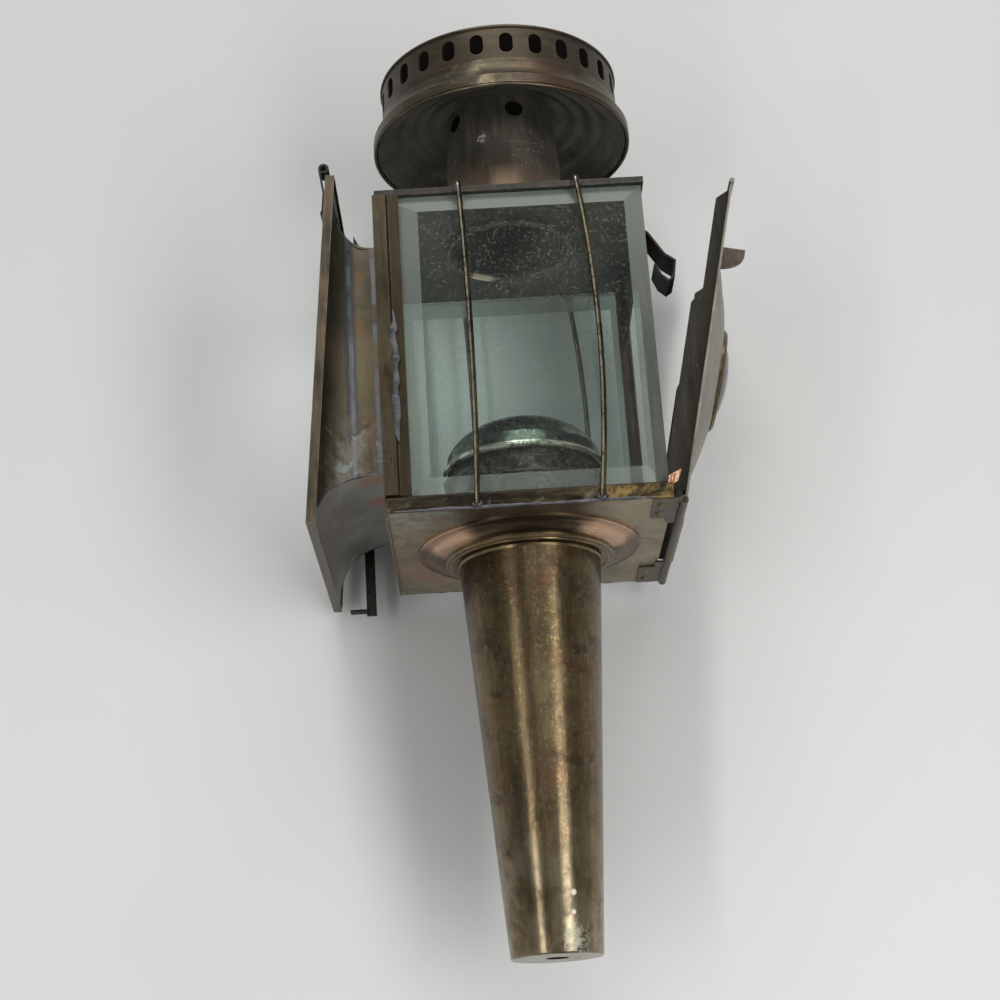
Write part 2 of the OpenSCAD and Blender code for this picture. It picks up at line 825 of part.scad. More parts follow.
module dish_gallery() {
  inner = gallery_r - sheet;
  color(bronze) at_base() difference() {
    union() {
      spun([
        [inner, sheet],
        [gallery_r + gallery_foot, sheet],
        [gallery_r + gallery_foot, 2 * sheet],
        [gallery_r, 2 * sheet],
        [gallery_r, gallery_top],
        [inner, gallery_top]
      ]);
      for (down = gallery_bead_down) wire_ring(gallery_r, gallery_bead, dome_z - down);
    }
    for (i = [0:gallery_holes - 1]) rotate([0, 0, 360 / gallery_holes * (i + 0.5)])
      translate([0, 0, gallery_hole_z]) rotate([0, 90, 0])
        cylinder(r = gallery_hole_r, h = gallery_r + gallery_foot, $fn = 32);
    translate([0, 0, socket_up]) cylinder(r = inner, h = gallery_top);
  }
}

neck_top_r = neck_r - neck_taper;
neck_top_z = roof_top + neck_h;
// Outer radius of the chimney at a height above the roof
function neck_at(h) = neck_r - neck_taper * h / neck_h;
// Chimney's foot: width of its flange, its solder fillet and the height where
// the neck begins
neck_foot = 3.5;
neck_fillet = 0.6;
neck_start = 2.4;
// Lap of the upper piece over the lower: height, thickness outside and inside
lap_h = 1.4;
lap_out = 0.35;
lap_in = 0.4;
// Air holes: distance below the chimney's top, and the first one's angle
neck_hole_down = 9.5;
neck_hole_turn = 212;

module chimney_lower() {
  top_r = neck_at(neck_low_h);
  color(copper) at_base() translate([0, 0, roof_top]) spun([
    [neck_r - sheet, 0],
    [neck_r + neck_foot, 0],
    [neck_r + neck_foot, sheet],
    [neck_r + neck_fillet, sheet + neck_fillet],
    [neck_at(neck_start), neck_start],
    [top_r, neck_low_h],
    [top_r - sheet, neck_low_h]
  ]);
}

module chimney_upper() {
  lap_r = neck_at(neck_low_h);
  lap_top = neck_low_h + lap_h + lap_in;
  color(bronze) at_base() translate([0, 0, roof_top]) difference() {
    spun([
      [lap_r - sheet - lap_in, neck_low_h],
      [lap_r + lap_out, neck_low_h],
      [lap_r + lap_out, neck_low_h + lap_h],
      [neck_at(lap_top), lap_top],
      [neck_top_r, neck_h],
      [neck_top_r - sheet, neck_h]
    ]);
    for (i = [0:neck_holes - 1]) rotate([0, 0, neck_hole_turn + 360 / neck_holes * i])
      translate([neck_top_r / 2, 0, neck_h - neck_hole_down]) rotate([0, 90, 0])
        cylinder(r = neck_hole_r, h = neck_top_r, $fn = 48);
  }
}

// Crown heights, from the base
skirt_z = neck_top_z - crown_drop;
flare_z = skirt_z + skirt_band;
band_z = flare_z + skirt_flare;
// Lap of the slotted band in the skirt
band_lap = 1.5;
cap_z = band_z + band_lap + 2 * slot_edge + slot_h;
rim_r = band_r + rim_flare;
// Radius of the wired edge under the crown's rim
rim_wire = 0.7;

// Ridged dish that closes the crown from below: its edge inside the rim, its
// height over the rim, where it meets the chimney, and its ridges
dish_rim_r = rim_r - 1.8;
dish_rim_z = skirt_z + 1;
dish_neck_down = 4;
dish_neck_r = neck_at(neck_h - dish_neck_down) + 0.15;
dish_lift = neck_top_z - dish_neck_down - dish_rim_z;
dish_ridges = 4;
dish_ridge_h = 0.5;
dish_steps = 44;
function crown_dish_at(t) =
  [dish_rim_r + (dish_neck_r - dish_rim_r) * t,
   dish_rim_z + dish_lift * sin(90 * t) + dish_ridge_h * sin(180 * t) * sin(360 * dish_ridges * t)];

module crown_dish() {
  line = [for (i = [0:dish_steps]) crown_dish_at(i / dish_steps)];
  color(bronze) at_base() spun(concat(line, [for (p = backwards(line)) p + [0, sheet]]));
}

// Steps of the flare's curve, and how much lower its inner face lies
flare_steps = 8;
flare_shift = 0.3;

module crown_skirt() {
  n = flare_steps;
  flare = [for (i = [0:n]) let (a = 90 * i / n)
    [band_r + rim_flare * (1 - sin(a)), flare_z + skirt_flare * (1 - cos(a))]];
  foot = skirt_z + 2 * rim_wire;
  color(copper) at_base() spun(concat(
    [[rim_r - sheet, foot], [rim_r, foot]],
    flare,
    [[band_r, band_z + band_lap], [band_r - sheet, band_z + band_lap]],
    [for (p = backwards(flare)) p - [sheet, flare_shift]]));
}

module crown_bead() {
  color(old_brass) at_base() wire_ring(rim_r - rim_wire, rim_wire, skirt_z + rim_wire);
}

// Angle of the first vent slot
slot_turn = -86.5;

// Vent slot cut outwards through the band
module vent_slot() {
  deep = 8;
  straight = slot_h - slot_w;
  translate([0, -slot_w / 2, -straight / 2]) cube([deep, slot_w, straight]);
  for (end = [-1, 1]) translate([0, 0, end * straight / 2]) rotate([0, 90, 0])
    cylinder(d = slot_w, h = deep, $fn = 32);
}

module crown_band() {
  low = band_z + band_lap;
  color(bronze) at_base() difference() {
    spun([[band_r - sheet, low], [band_r, low], [band_r, cap_z], [band_r - sheet, cap_z]]);
    for (i = [0:slots - 1]) rotate([0, 0, slot_turn + 360 / slots * i])
      translate([band_r - 4, 0, low + slot_edge + slot_h / 2]) vent_slot();
  }
}

// Cap: its edge outside and inside the band, and the steps of its curve
cap_edge = 0.6;
cap_seat = 1.6;
cap_steps = 14;
cap_shift = 0.3;

module crown_cap() {
  n = cap_steps;
  r = band_r + cap_edge;
  top = [for (i = [0:n]) [r * (1 - i / n), cap_z + sheet + cap_rise * sin(90 * i / n)]];
  color(copper) at_base() spun(concat(
    [[band_r - cap_seat, cap_z], [r, cap_z]],
    top,
    [for (i = [n:-1:1]) top[i] - [i == n ? 0 : cap_shift, sheet]]));
}

// Closed door: inner face of its panel and its heights from the base
door_x = hinge_x + door_gap;
door_low = hinge_z + barrel_r + door_gap;
door_top = roof_z + door_over;
door_y = half_d - door_side;

// Turns the closed door about its hinge to the rest pose
module door_pose() {
  translate([hinge_x, 0, base_z + hinge_z]) rotate([0, door_open, 0])
    translate([-hinge_x, 0, -hinge_z]) children();
}

// Slot that the catch passes through: its clearance and its heights
slot_gap = 1;
slot_low = catch_z - 27;
slot_high = catch_z - 1.2;

module catch_slot(x0, x1) {
  y = catch_w / 2 + slot_gap;
  span([x0, catch_y - y, slot_low], [x1, catch_y + y, slot_high]);
}

// Dished disc in the door
bezel_r = lens_hole_r + bezel_w;
dish_r = door_y - dish_side;
dish_z = (door_low + door_top) / 2 + dish_up;
dish_flat = bezel_r + 0.5;
dish_seam = 0.5;
dish_rings = 12;
// Outer face of the dished disc at radius r, out from the door's inner face
function dish_at(r) = sheet + dish_rise * (1 - pow(max(r, dish_flat) / dish_r, 2));

// Turns a shape of revolution to stand out of the door at the dish's centre
module at_dish() {
  door_pose() translate([door_x, 0, dish_z]) rotate([0, 90, 0]) children();
}

// Hole through the door's sheets about the dish's centre
module dish_hole(r, x) {
  translate([x - cut, 0, dish_z]) rotate([0, 90, 0]) cylinder(r = r, h = sheet + 2 * cut);
}

// Rolled top edge of the door: its radius and how far it stands out at the sides
roll_r = 1;
roll_over = 0.5;

module door_panel() {
  n = dish_rings;
  outer = [for (i = [0:n]) let (r = dish_r - (dish_r - dish_flat) * i / n) [r, dish_at(r)]];
  hole = [[lens_hole_r, dish_at(0)], [lens_hole_r, dish_at(0) - sheet]];
  inner = [for (i = [n:-1:1]) outer[i] - [0, sheet]];
  color(bronze) difference() {
    union() {
      door_pose() difference() {
        span([door_x, -door_y, door_low], [door_x + sheet, door_y, door_top]);
        dish_hole(dish_r - dish_seam, door_x);
      }
      at_dish() spun(concat([[dish_r, 0]], outer, hole, inner, [[dish_r - 2 * dish_seam, 0]]));
      door_pose() translate([door_x + sheet / 2, -door_y - roll_over, door_top]) rotate([-90, 0, 0])
        cylinder(r = roll_r, h = 2 * (door_y + roll_over), $fn = 32);
    }
    door_pose() catch_slot(door_x - cut, door_x + dish_rise + 2 * cut);
  }
}

// Inner tray: clearance from the door wall, height over the pan's edge, distance
// of its top below the door's top, drop of its sloped top, and height of the
// chamfer over its step
tray_clear = 0.4;
tray_lift = 0.6;
tray_top_down = 1.4;
tray_slope = 3.6;
tray_chamfer = 6.4;
// How much smaller than the bezel the tray's hole is
tray_hole_in = 1;

module door_tray() {
  back = door_x - sheet;
  low = pan_h + tray_lift;
  high = door_top - tray_top_down;
  shallow = pan_in + tray_clear;
  color(bronze) door_pose() {
    difference() {
      span([back, -tray_y, low], [door_x, tray_y, high]);
      dish_hole(bezel_r - tray_hole_in, back);
      catch_slot(back - cut, door_x + cut);
    }
    for (wall = [[-tray_y, tray_deep], [tray_y - sheet, tray_deep_back]]) {
      deep = door_x - wall[1];
      side_prism([
        [back, low], [back, high], [shallow, high - tray_slope],
        [shallow, tray_step + tray_chamfer], [deep, tray_step], [deep, low]
      ], wall[0], wall[0] + sheet);
    }
  }
}

// Distance of the hinge leaf's upper edge below the dished disc
leaf_down = 8;

module door_leaf() {
  y = door_barrel_y;
  face = door_x + sheet;
  seat = hinge_z + barrel_r;
  color(copper) door_pose() difference() {
    union() {
      cross_rod(hinge_x, hinge_z, barrel_r, -y, y);
      span([face, -y, hinge_z], [face + sheet, y, dish_z - dish_r - leaf_down]);
      span([hinge_x, -y, seat - sheet], [face + sheet, y, seat]);
    }
    cross_rod(hinge_x, hinge_z, pin_r + pin_gap, -y - cut, y + cut);
  }
}

// Bezel: its lip over the lens, and its rounded outer edge as insets and shares
// of its height
bezel_lip = 0.2;
bezel_bevel = 0.4;
bezel_round = [[0, 0.4], [1.2, 0.9], [2.2, 1]];

module lens_bezel() {
  face = dish_at(0);
  color(old_brass) at_dish() spun(concat(
    [[lens_hole_r - bezel_lip, face], [bezel_r, face]],
    [for (p = bezel_round) [bezel_r - p[0], face + bezel_h * p[1]]],
    [[lens_hole_r + bezel_bevel, face + bezel_h], [lens_hole_r - bezel_lip, face + bezel_h * 0.7]]));
}

// Ruby bull's-eye: a flat edge behind the panel and a crown through its hole
lens_edge_r = lens_hole_r + 1.4;
lens_edge_t = 2.5;
lens_crown_r = lens_hole_r - 0.4;
lens_crown_h = 4.4;
lens_side = 1;
lens_foot = dish_at(0) - sheet - seat_gap;
lens_back = lens_foot - lens_edge_t;

module rear_lens() {
  crown = [for (i = [0:10]) [lens_crown_r * cos(9 * i), lens_foot + lens_side + lens_crown_h * sin(9 * i)]];
  color(ruby) at_dish() spun(concat(
    [[0, lens_back], [lens_edge_r, lens_back], [lens_edge_r, lens_foot], [lens_crown_r, lens_foot]], crown));
}

// Ring that holds the lens: its wall, its back and its lip under the lens
ring_wall = 1.3;
ring_back = 1;
ring_lip = 2;

module lens_ring() {
  bore = lens_edge_r + seat_gap;
  color(old_brass) at_dish() spun([
    [lens_edge_r - ring_lip, lens_back - ring_back],
    [bore + ring_wall, lens_back - ring_back],
    [bore + ring_wall, dish_at(0) - sheet],
    [bore, dish_at(0) - sheet],
    [bore, lens_back],
    [lens_edge_r - ring_lip, lens_back]
  ]);
}

// Thumb tab: distance below the door's top, thickness, half width and height of
// its foot, and the height of its blunt end
tab_down = 3.4;
tab_t = 1.2;
tab_foot = 3.2;
tab_h = 9.6;
tab_end = 2.6;

module thumb_tab() {
  face = door_x + sheet;
  high = door_top - tab_down;
  edge = [for (i = [0:9]) [face + tab_reach * cos(10 * i), high - tab_end - (tab_h - tab_end) * sin(10 * i)]];
  color(copper) door_pose() {
    side_prism(concat([[face, high], [face + tab_reach, high]], edge), -tab_t / 2, tab_t / 2);
    span([face, -tab_foot, high - tab_h], [face + sheet, tab_foot, high]);
  }
}

// Folded line of the catch, from its root out over the nose and back
catch_root = [half_w + 0.7, catch_z];
catch_line = [
  catch_root,
  catch_root + [1.6, -1],
  catch_root + [7.4, -10.6],
  catch_root + [11.3, -13.6],
  catch_root + [10.2, -20.5],
  catch_root + [8.2, -22],
  catch_root + [5.4, -19.5],
  catch_root + [3.4, -14.5]
];

module door_catch() {
  y = catch_w / 2;
  color(black_iron) at_base() side_prism(fold(catch_line, sheet), catch_y - y, catch_y + y);
}

// Radius and height of the peg on the catch, and its place along the nose
peg_r = 0.6;
peg_h = 2.8;
peg_at = 0.3;

module catch_peg() {
  fall = catch_line[3] - catch_line[2];
  place = catch_line[2] + peg_at * fall;
  color(black_iron) at_base() translate([place[0], catch_y, place[1]])
    rotate([0, -atan2(fall[1], fall[0]), 0]) translate([0, 0, sheet / 2])
      cylinder(r = peg_r, h = peg_h, $fn = 24);
}

stem_top_r = socket_r + stem_step;
// Chamfer of the stem's bottom edge: inwards and upwards
stem_edge = 0.3;
stem_edge_h = 0.5;
// Radius of the stem's outer face at a height above the origin
function stem_at(z) = stem_end_r + (stem_top_r - stem_end_r) * z / stem_len;

module stem_tube() {
  color(old_brass) spun([
    [stem_end_r - sheet, 0],
    [stem_end_r - stem_edge, 0],
    [stem_at(stem_edge_h), stem_edge_h],
    [stem_top_r, stem_len],
    [stem_top_r - sheet, stem_len]
  ]);
}

// Spigot: its shoulder bead's edge and crown past the stem, and its chamfer
spigot_r = socket_r - socket_gap;
shoulder_edge = 0.2;
shoulder_crown = 0.6;
spigot_down = 0.8;
spigot_edge = 0.4;
spigot_edge_h = 0.7;

module stem_spigot() {
  top = socket_up - spigot_down;
  color(copper) at_base() spun([
    [spigot_r - sheet, stem_top_z],
    [stem_top_r + shoulder_edge, stem_top_z],
    [stem_top_r + shoulder_crown, stem_top_z + shoulder_h / 2],
    [stem_top_r + shoulder_edge, shoulder_z],
    [spigot_r, shoulder_z],
    [spigot_r, top - spigot_edge_h],
    [spigot_r - spigot_edge, top],
    [spigot_r - sheet, top]
  ]);
}

// Clearance of the bottom end inside the stem
end_play = 0.02;

module stem_end() {
  color(old_brass) difference() {
    cylinder(r = stem_end_r - sheet - end_play, h = end_t);
    translate([0, 0, -cut]) cylinder(r = end_hole_r, h = end_t + 2 * cut);
  }
}

// Height of the stem's floor, from the lantern's base
floor_z = -base_z + end_t;
tube_out = tube_r + sheet;

module candle_tube() {
  color(old_brass) at_base() spun([
    [tube_r, floor_z],
    [tube_out, floor_z],
    [tube_out, tube_up],
    [tube_r, tube_up]
  ]);
}

// Nozzle: thickness of its lip, chamfer inwards and down, and its hole
nozzle_t = 1.2;
nozzle_edge = 0.6;
nozzle_edge_h = 0.4;
nozzle_hole_r = tube_r - nozzle_lip;

module candle_nozzle() {
  top = tube_up + nozzle_t;
  color(old_brass) at_base() spun([
    [nozzle_hole_r, tube_up],
    [tube_out, tube_up],
    [tube_out, top - nozzle_edge_h],
    [tube_out - nozzle_edge, top],
    [nozzle_hole_r, top]
  ]);
}

// Candle: its shoulder is below the nozzle, its tip above it
candle_r = tube_r - candle_gap;
candle_shoulder = tube_up - candle_drop;
candle_z = candle_shoulder - candle_len;
// Tip: radii and heights above the tube's mouth
tip_waist_r = nozzle_hole_r - 1;
tip_waist = 0.1;
tip_r = 3;
tip_edge = 2.4;
tip_top = 2.7;
candle_top = tube_up + tip_top;

module candle() {
  color("ivory") at_base() spun([
    [0, candle_z],
    [candle_r, candle_z],
    [candle_r, candle_shoulder],
    [tip_waist_r, tube_up + tip_waist],
    [tip_r, tube_up + tip_edge],
    [0, candle_top]
  ]);
}

wick_r = 0.8;
wick_h = 1.8;

module wick() {
  color("dimgray") at_base() translate([0, 0, candle_top]) cylinder(r = wick_r, h = wick_h, $fn = 24);
}

// Follower: thickness of its floor, height of its wall and their clearances
follower_t = 3;
follower_wall = 3;
follower_out_gap = 0.4;
follower_in_gap = 0.02;
follower_z = candle_z - follower_t;

module follower() {
  outer = tube_r - follower_out_gap;
  inner = candle_r + follower_in_gap;
  color(old_brass) at_base() spun([
    [0, follower_z],
    [outer, follower_z],
    [outer, candle_z + follower_wall],
    [inner, candle_z + follower_wall],
    [inner, candle_z],
    [0, candle_z]
  ]);
}

// Feed spring between the floor and the follower, with a small gap at each end
coil_r = tube_r - coil_gap - coil_wire_r;
coil_rings = 8;
coil_sides = 6;
coil_end = coil_wire_r + 0.05;
coil_low = floor_z + coil_end;
coil_rise = follower_z - coil_end - coil_low;
coil_count = coil_turns * coil_rings;
// Centre of the spring's wire at ring i
function coil_point(i) =
  let (a = 360 * i / coil_rings) [coil_r * cos(a), coil_r * sin(a), coil_low + coil_rise * i / coil_count];
// Point k of ring i round the wire
function coil_skin(i, k) =
  let (a = 360 * i / coil_rings, b = 360 * k / coil_sides)
  coil_point(i) + coil_wire_r * [cos(b) * cos(a), cos(b) * sin(a), sin(b)];
echo(least_gap_between_turns = norm(coil_point(coil_rings) - coil_point(0)) - 2 * coil_wire_r);

module feed_spring() {
  n = coil_sides;
  last = coil_count * n;
  points = [for (i = [0:coil_count], k = [0:n - 1]) coil_skin(i, k)];
  walls = [for (i = [0:coil_count - 1], k = [0:n - 1])
    let (a = i * n + k, b = i * n + (k + 1) % n)
    each [[a, b, a + n], [b, b + n, a + n]]];
  ends = [for (k = [1:n - 2]) each [[0, k + 1, k], [last, last + k, last + k + 1]]];
  color("silver") at_base() polyhedron(points, concat(walls, ends));
}

base_pan();
base_moulding();
stem_socket();
corner_posts();
hood_wall();
door_wall();
roof_plate();
ceiling_ring();
front_glass();
back_glass();
front_stile();
back_stile();
front_sill();
back_sill();
front_wires();
back_wires();
hood_flange();
hood_glass();
hood_beads();
hood_cove_front();
hood_cove_back();
hood_cove_top();
hood_cove_bottom();
hood_rim();
rim_clip_front();
rim_clip_back();
hood_lug();
hood_stay();
hinge_straps();
hinge_pin();
catch_plate();
rivets();
wind_dish();
dish_gallery();
chimney_lower();
chimney_upper();
crown_dish();
crown_skirt();
crown_bead();
crown_band();
crown_cap();
door_panel();
door_tray();
door_leaf();
lens_bezel();
rear_lens();
lens_ring();
thumb_tab();
door_catch();
catch_peg();
stem_tube();
stem_spigot();
stem_end();
candle_tube();
candle_nozzle();
feed_spring();
follower();
candle();
wick();
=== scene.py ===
"""Looks of the candle carriage lamp: finishes, solder, wear, backdrop, light and camera."""

import math

import bpy
from mathutils import Matrix, Vector, noise

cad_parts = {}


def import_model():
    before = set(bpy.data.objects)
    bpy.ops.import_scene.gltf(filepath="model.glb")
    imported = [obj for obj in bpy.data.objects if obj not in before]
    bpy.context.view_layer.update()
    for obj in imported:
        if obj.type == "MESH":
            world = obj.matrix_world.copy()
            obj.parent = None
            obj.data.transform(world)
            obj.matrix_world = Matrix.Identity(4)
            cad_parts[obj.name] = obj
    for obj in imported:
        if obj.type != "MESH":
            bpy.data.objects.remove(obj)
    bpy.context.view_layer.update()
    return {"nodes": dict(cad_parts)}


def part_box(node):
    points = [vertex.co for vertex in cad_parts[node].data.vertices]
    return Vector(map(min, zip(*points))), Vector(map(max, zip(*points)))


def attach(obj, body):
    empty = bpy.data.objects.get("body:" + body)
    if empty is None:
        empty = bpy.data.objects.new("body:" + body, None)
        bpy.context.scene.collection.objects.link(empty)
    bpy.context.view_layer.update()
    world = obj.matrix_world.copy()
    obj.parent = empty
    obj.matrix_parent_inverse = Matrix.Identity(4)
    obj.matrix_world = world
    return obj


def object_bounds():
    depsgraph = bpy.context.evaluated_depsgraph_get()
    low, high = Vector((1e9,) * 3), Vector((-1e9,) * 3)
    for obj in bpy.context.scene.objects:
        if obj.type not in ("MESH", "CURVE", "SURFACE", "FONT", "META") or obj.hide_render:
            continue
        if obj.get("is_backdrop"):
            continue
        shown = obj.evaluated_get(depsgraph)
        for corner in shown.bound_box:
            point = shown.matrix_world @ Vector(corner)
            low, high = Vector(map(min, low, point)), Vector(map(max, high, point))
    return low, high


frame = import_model()

MM = 0.001
# Heights above the stem's bottom end: the lantern's base, and the top of its roof
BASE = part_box("base_pan")[0][2]
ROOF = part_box("roof_plate")[1][2]
# Where the solder goes, in millimetres from the middle of the lantern's base
PANE_FACE = 50.85
STILE_MIDDLE = -45.9
WIRE_PLACES = (-19, 25.5)
CHIMNEY_FOOT_RADIUS = 24.6
CHIMNEY_FOOT_HEIGHT = 127.9
SCRAP_FACE = -50.2
# How near in millimetres two nodes lie where they meet, and the spacing of places along their seam
SEAM_REACH = 1.3
SEAM_STEP = 1.2
# The backdrop in metres: half its width, its squares along each side, and its gap to the lamp
SHEET_REACH = 2.4
SHEET_SQUARES = 60
SHEET_GAP = 0.004
LAMP_COLOUR = (1.0, 0.98, 0.95)


def spot(x, y, z):
    """A place given in millimetres from the middle of the lantern's base."""
    return Vector((x * MM, y * MM, BASE + z * MM))


def ink(code):
    """Linear colour of a #rrggbb code."""
    parts = [int(code[i : i + 2], 16) / 255 for i in (1, 3, 5)]
    return tuple(c / 12.92 if c <= 0.04045 else ((c + 0.055) / 1.055) ** 2.4 for c in parts) + (1.0,)


class Paint:
    """A material under construction. Values are sockets, numbers or colours."""

    def __init__(self, name):
        self.material = bpy.data.materials.new(name)
        self.material.use_nodes = True
        self.tree = self.material.node_tree
        self.tree.nodes.clear()
        self.output = self.add("ShaderNodeOutputMaterial")
        coordinates = self.add("ShaderNodeTexCoord")
        self.place = coordinates.outputs["Object"]
        self.normal = coordinates.outputs["Normal"]
        self.geometry = self.add("ShaderNodeNewGeometry")

    def add(self, kind, **settings):
        node = self.tree.nodes.new(kind)
        for key, value in settings.items():
            setattr(node, key, value)
        return node

    def feed(self, socket, value):
        if isinstance(value, bpy.types.NodeSocket):
            self.tree.links.new(value, socket)
        else:
            socket.default_value = value

    def stretched(self, x, y, z):
        """The place, scaled on each axis, so that a pattern runs longer where the number is small."""
        node = self.add("ShaderNodeMapping")
        self.feed(node.inputs["Vector"], self.place)
        node.inputs["Scale"].default_value = (x, y, z)
        return node.outputs["Vector"]

    def clouds(self, scale, detail=4.0, rough=0.55, warp=0.0, where=None):
        node = self.add("ShaderNodeTexNoise")
        self.feed(node.inputs["Vector"], where or self.place)
        node.inputs["Scale"].default_value = scale
        node.inputs["Detail"].default_value = detail
        node.inputs["Roughness"].default_value = rough
        node.inputs["Distortion"].default_value = warp
        return node.outputs["Fac"]

    def cells(self, scale, output="Distance"):
        node = self.add("ShaderNodeTexVoronoi")
        self.feed(node.inputs["Vector"], self.place)
        node.inputs["Scale"].default_value = scale
        return node.outputs[output]

    def step(self, value, low, high, start=0.0, end=1.0):
        """start below low, end above high, and smooth between them."""
        node = self.add("ShaderNodeMapRange", interpolation_type="SMOOTHSTEP")
        self.feed(node.inputs["Value"], value)
        node.inputs["From Min"].default_value = low
        node.inputs["From Max"].default_value = high
        node.inputs["To Min"].default_value = start
        node.inputs["To Max"].default_value = end
        return node.outputs["Result"]

    def sum(self, kind, a, b=0.0, c=0.0):
        node = self.add("ShaderNodeMath", operation=kind)
        for socket, value in zip(node.inputs, (a, b, c)):
            self.feed(socket, value)
        return node.outputs["Value"]

    def times(self, *values):
        result = values[0]
        for value in values[1:]:
            result = self.sum("MULTIPLY", result, value)
        return result

    def blend(self, share, a, b):
        node = self.add("ShaderNodeMix", data_type="RGBA")
        self.feed(node.inputs["Factor"], share)
        self.feed(node.inputs[6], a)
        self.feed(node.inputs[7], b)
        return node.outputs[2]

    def axis(self, name):
        node = self.add("ShaderNodeSeparateXYZ")
        self.feed(node.inputs["Vector"], self.place)
        return node.outputs[name]

    def near(self, point, reach, ragged=0.5, scale=120.0):
        """1 round a point, fading to 0 at the reach, with a ragged edge."""
        node = self.add("ShaderNodeVectorMath", operation="DISTANCE")
        self.feed(node.inputs[0], self.place)
        node.inputs[1].default_value = point
        wander = self.sum("MULTIPLY_ADD", self.clouds(scale, 5), 2 * ragged * reach, -ragged * reach)
        return self.step(self.sum("ADD", node.outputs["Value"], wander), reach * 0.45, reach, 1.0, 0.0)

    def edges(self, radius):
        """1 on sharp edges, 0 on flat ground."""
        node = self.add("ShaderNodeBevel", samples=4)
        node.inputs["Radius"].default_value = radius
        dot = self.add("ShaderNodeVectorMath", operation="DOT_PRODUCT")
        self.feed(dot.inputs[0], node.outputs["Normal"])
        self.feed(dot.inputs[1], self.geometry.outputs["Normal"])
        return self.step(dot.outputs["Value"], 0.84, 0.99, 1.0, 0.0)

    def inside(self):
        """1 on the faces of a spun piece that look at the upright axis."""
        flat = self.add("ShaderNodeVectorMath", operation="MULTIPLY")
        self.feed(flat.inputs[0], self.place)
        flat.inputs[1].default_value = (1, 1, 0)
        dot = self.add("ShaderNodeVectorMath", operation="DOT_PRODUCT")
        self.feed(dot.inputs[0], flat.outputs["Vector"])
        self.feed(dot.inputs[1], self.normal)
        return self.step(dot.outputs["Value"], -0.004, 0.0, 1.0, 0.0)

    def tilted(self):
        """1 on faces that lie along none of the three axes, such as a pane's bevel."""
        parts = self.add("ShaderNodeSeparateXYZ")
        self.feed(parts.inputs["Vector"], self.normal)
        x, y, z = (self.sum("ABSOLUTE", parts.outputs[i]) for i in range(3))
        return self.step(self.sum("MAXIMUM", self.sum("MAXIMUM", x, y), z), 0.9962, 0.9985, 1.0, 0.0)

    def turned(self, name, low, middle, high):
        """1 on faces whose normal has the middle value along an axis, 0 at the low and high values."""
        parts = self.add("ShaderNodeSeparateXYZ")
        self.feed(parts.inputs["Vector"], self.normal)
        rise = self.step(parts.outputs[name], low, middle)
        return self.times(rise, self.step(parts.outputs[name], middle, high, 1.0, 0.0))

    def bump(self, height, depth, strength=1.0, base=None):
        node = self.add("ShaderNodeBump")
        self.feed(node.inputs["Height"], height)
        node.inputs["Strength"].default_value = strength
        node.inputs["Distance"].default_value = depth
        if base is not None:
            self.feed(node.inputs["Normal"], base)
        return node.outputs["Normal"]

    def shade(self, colour, rough, metallic, normal=None, **rest):
        node = self.add("ShaderNodeBsdfPrincipled")
        self.feed(node.inputs["Base Color"], colour)
        self.feed(node.inputs["Roughness"], rough)
        self.feed(node.inputs["Metallic"], metallic)
        if normal is not None:
            self.feed(node.inputs["Normal"], normal)
        for key, value in rest.items():
            self.feed(node.inputs[key.replace("_", " ")], value)
        self.tree.links.new(node.outputs["BSDF"], self.output.inputs["Surface"])


# Grain directions: how the pattern is squeezed along X, Y and Z
DRAWN = (1.0, 1.0, 0.05)
UPRIGHT = (1.0, 1.0, 0.08)
LEVEL = (0.12, 0.12, 1.0)
ACROSS = (0.15, 1.0, 1.0)
EVEN = (1.0, 1.0, 1.0)


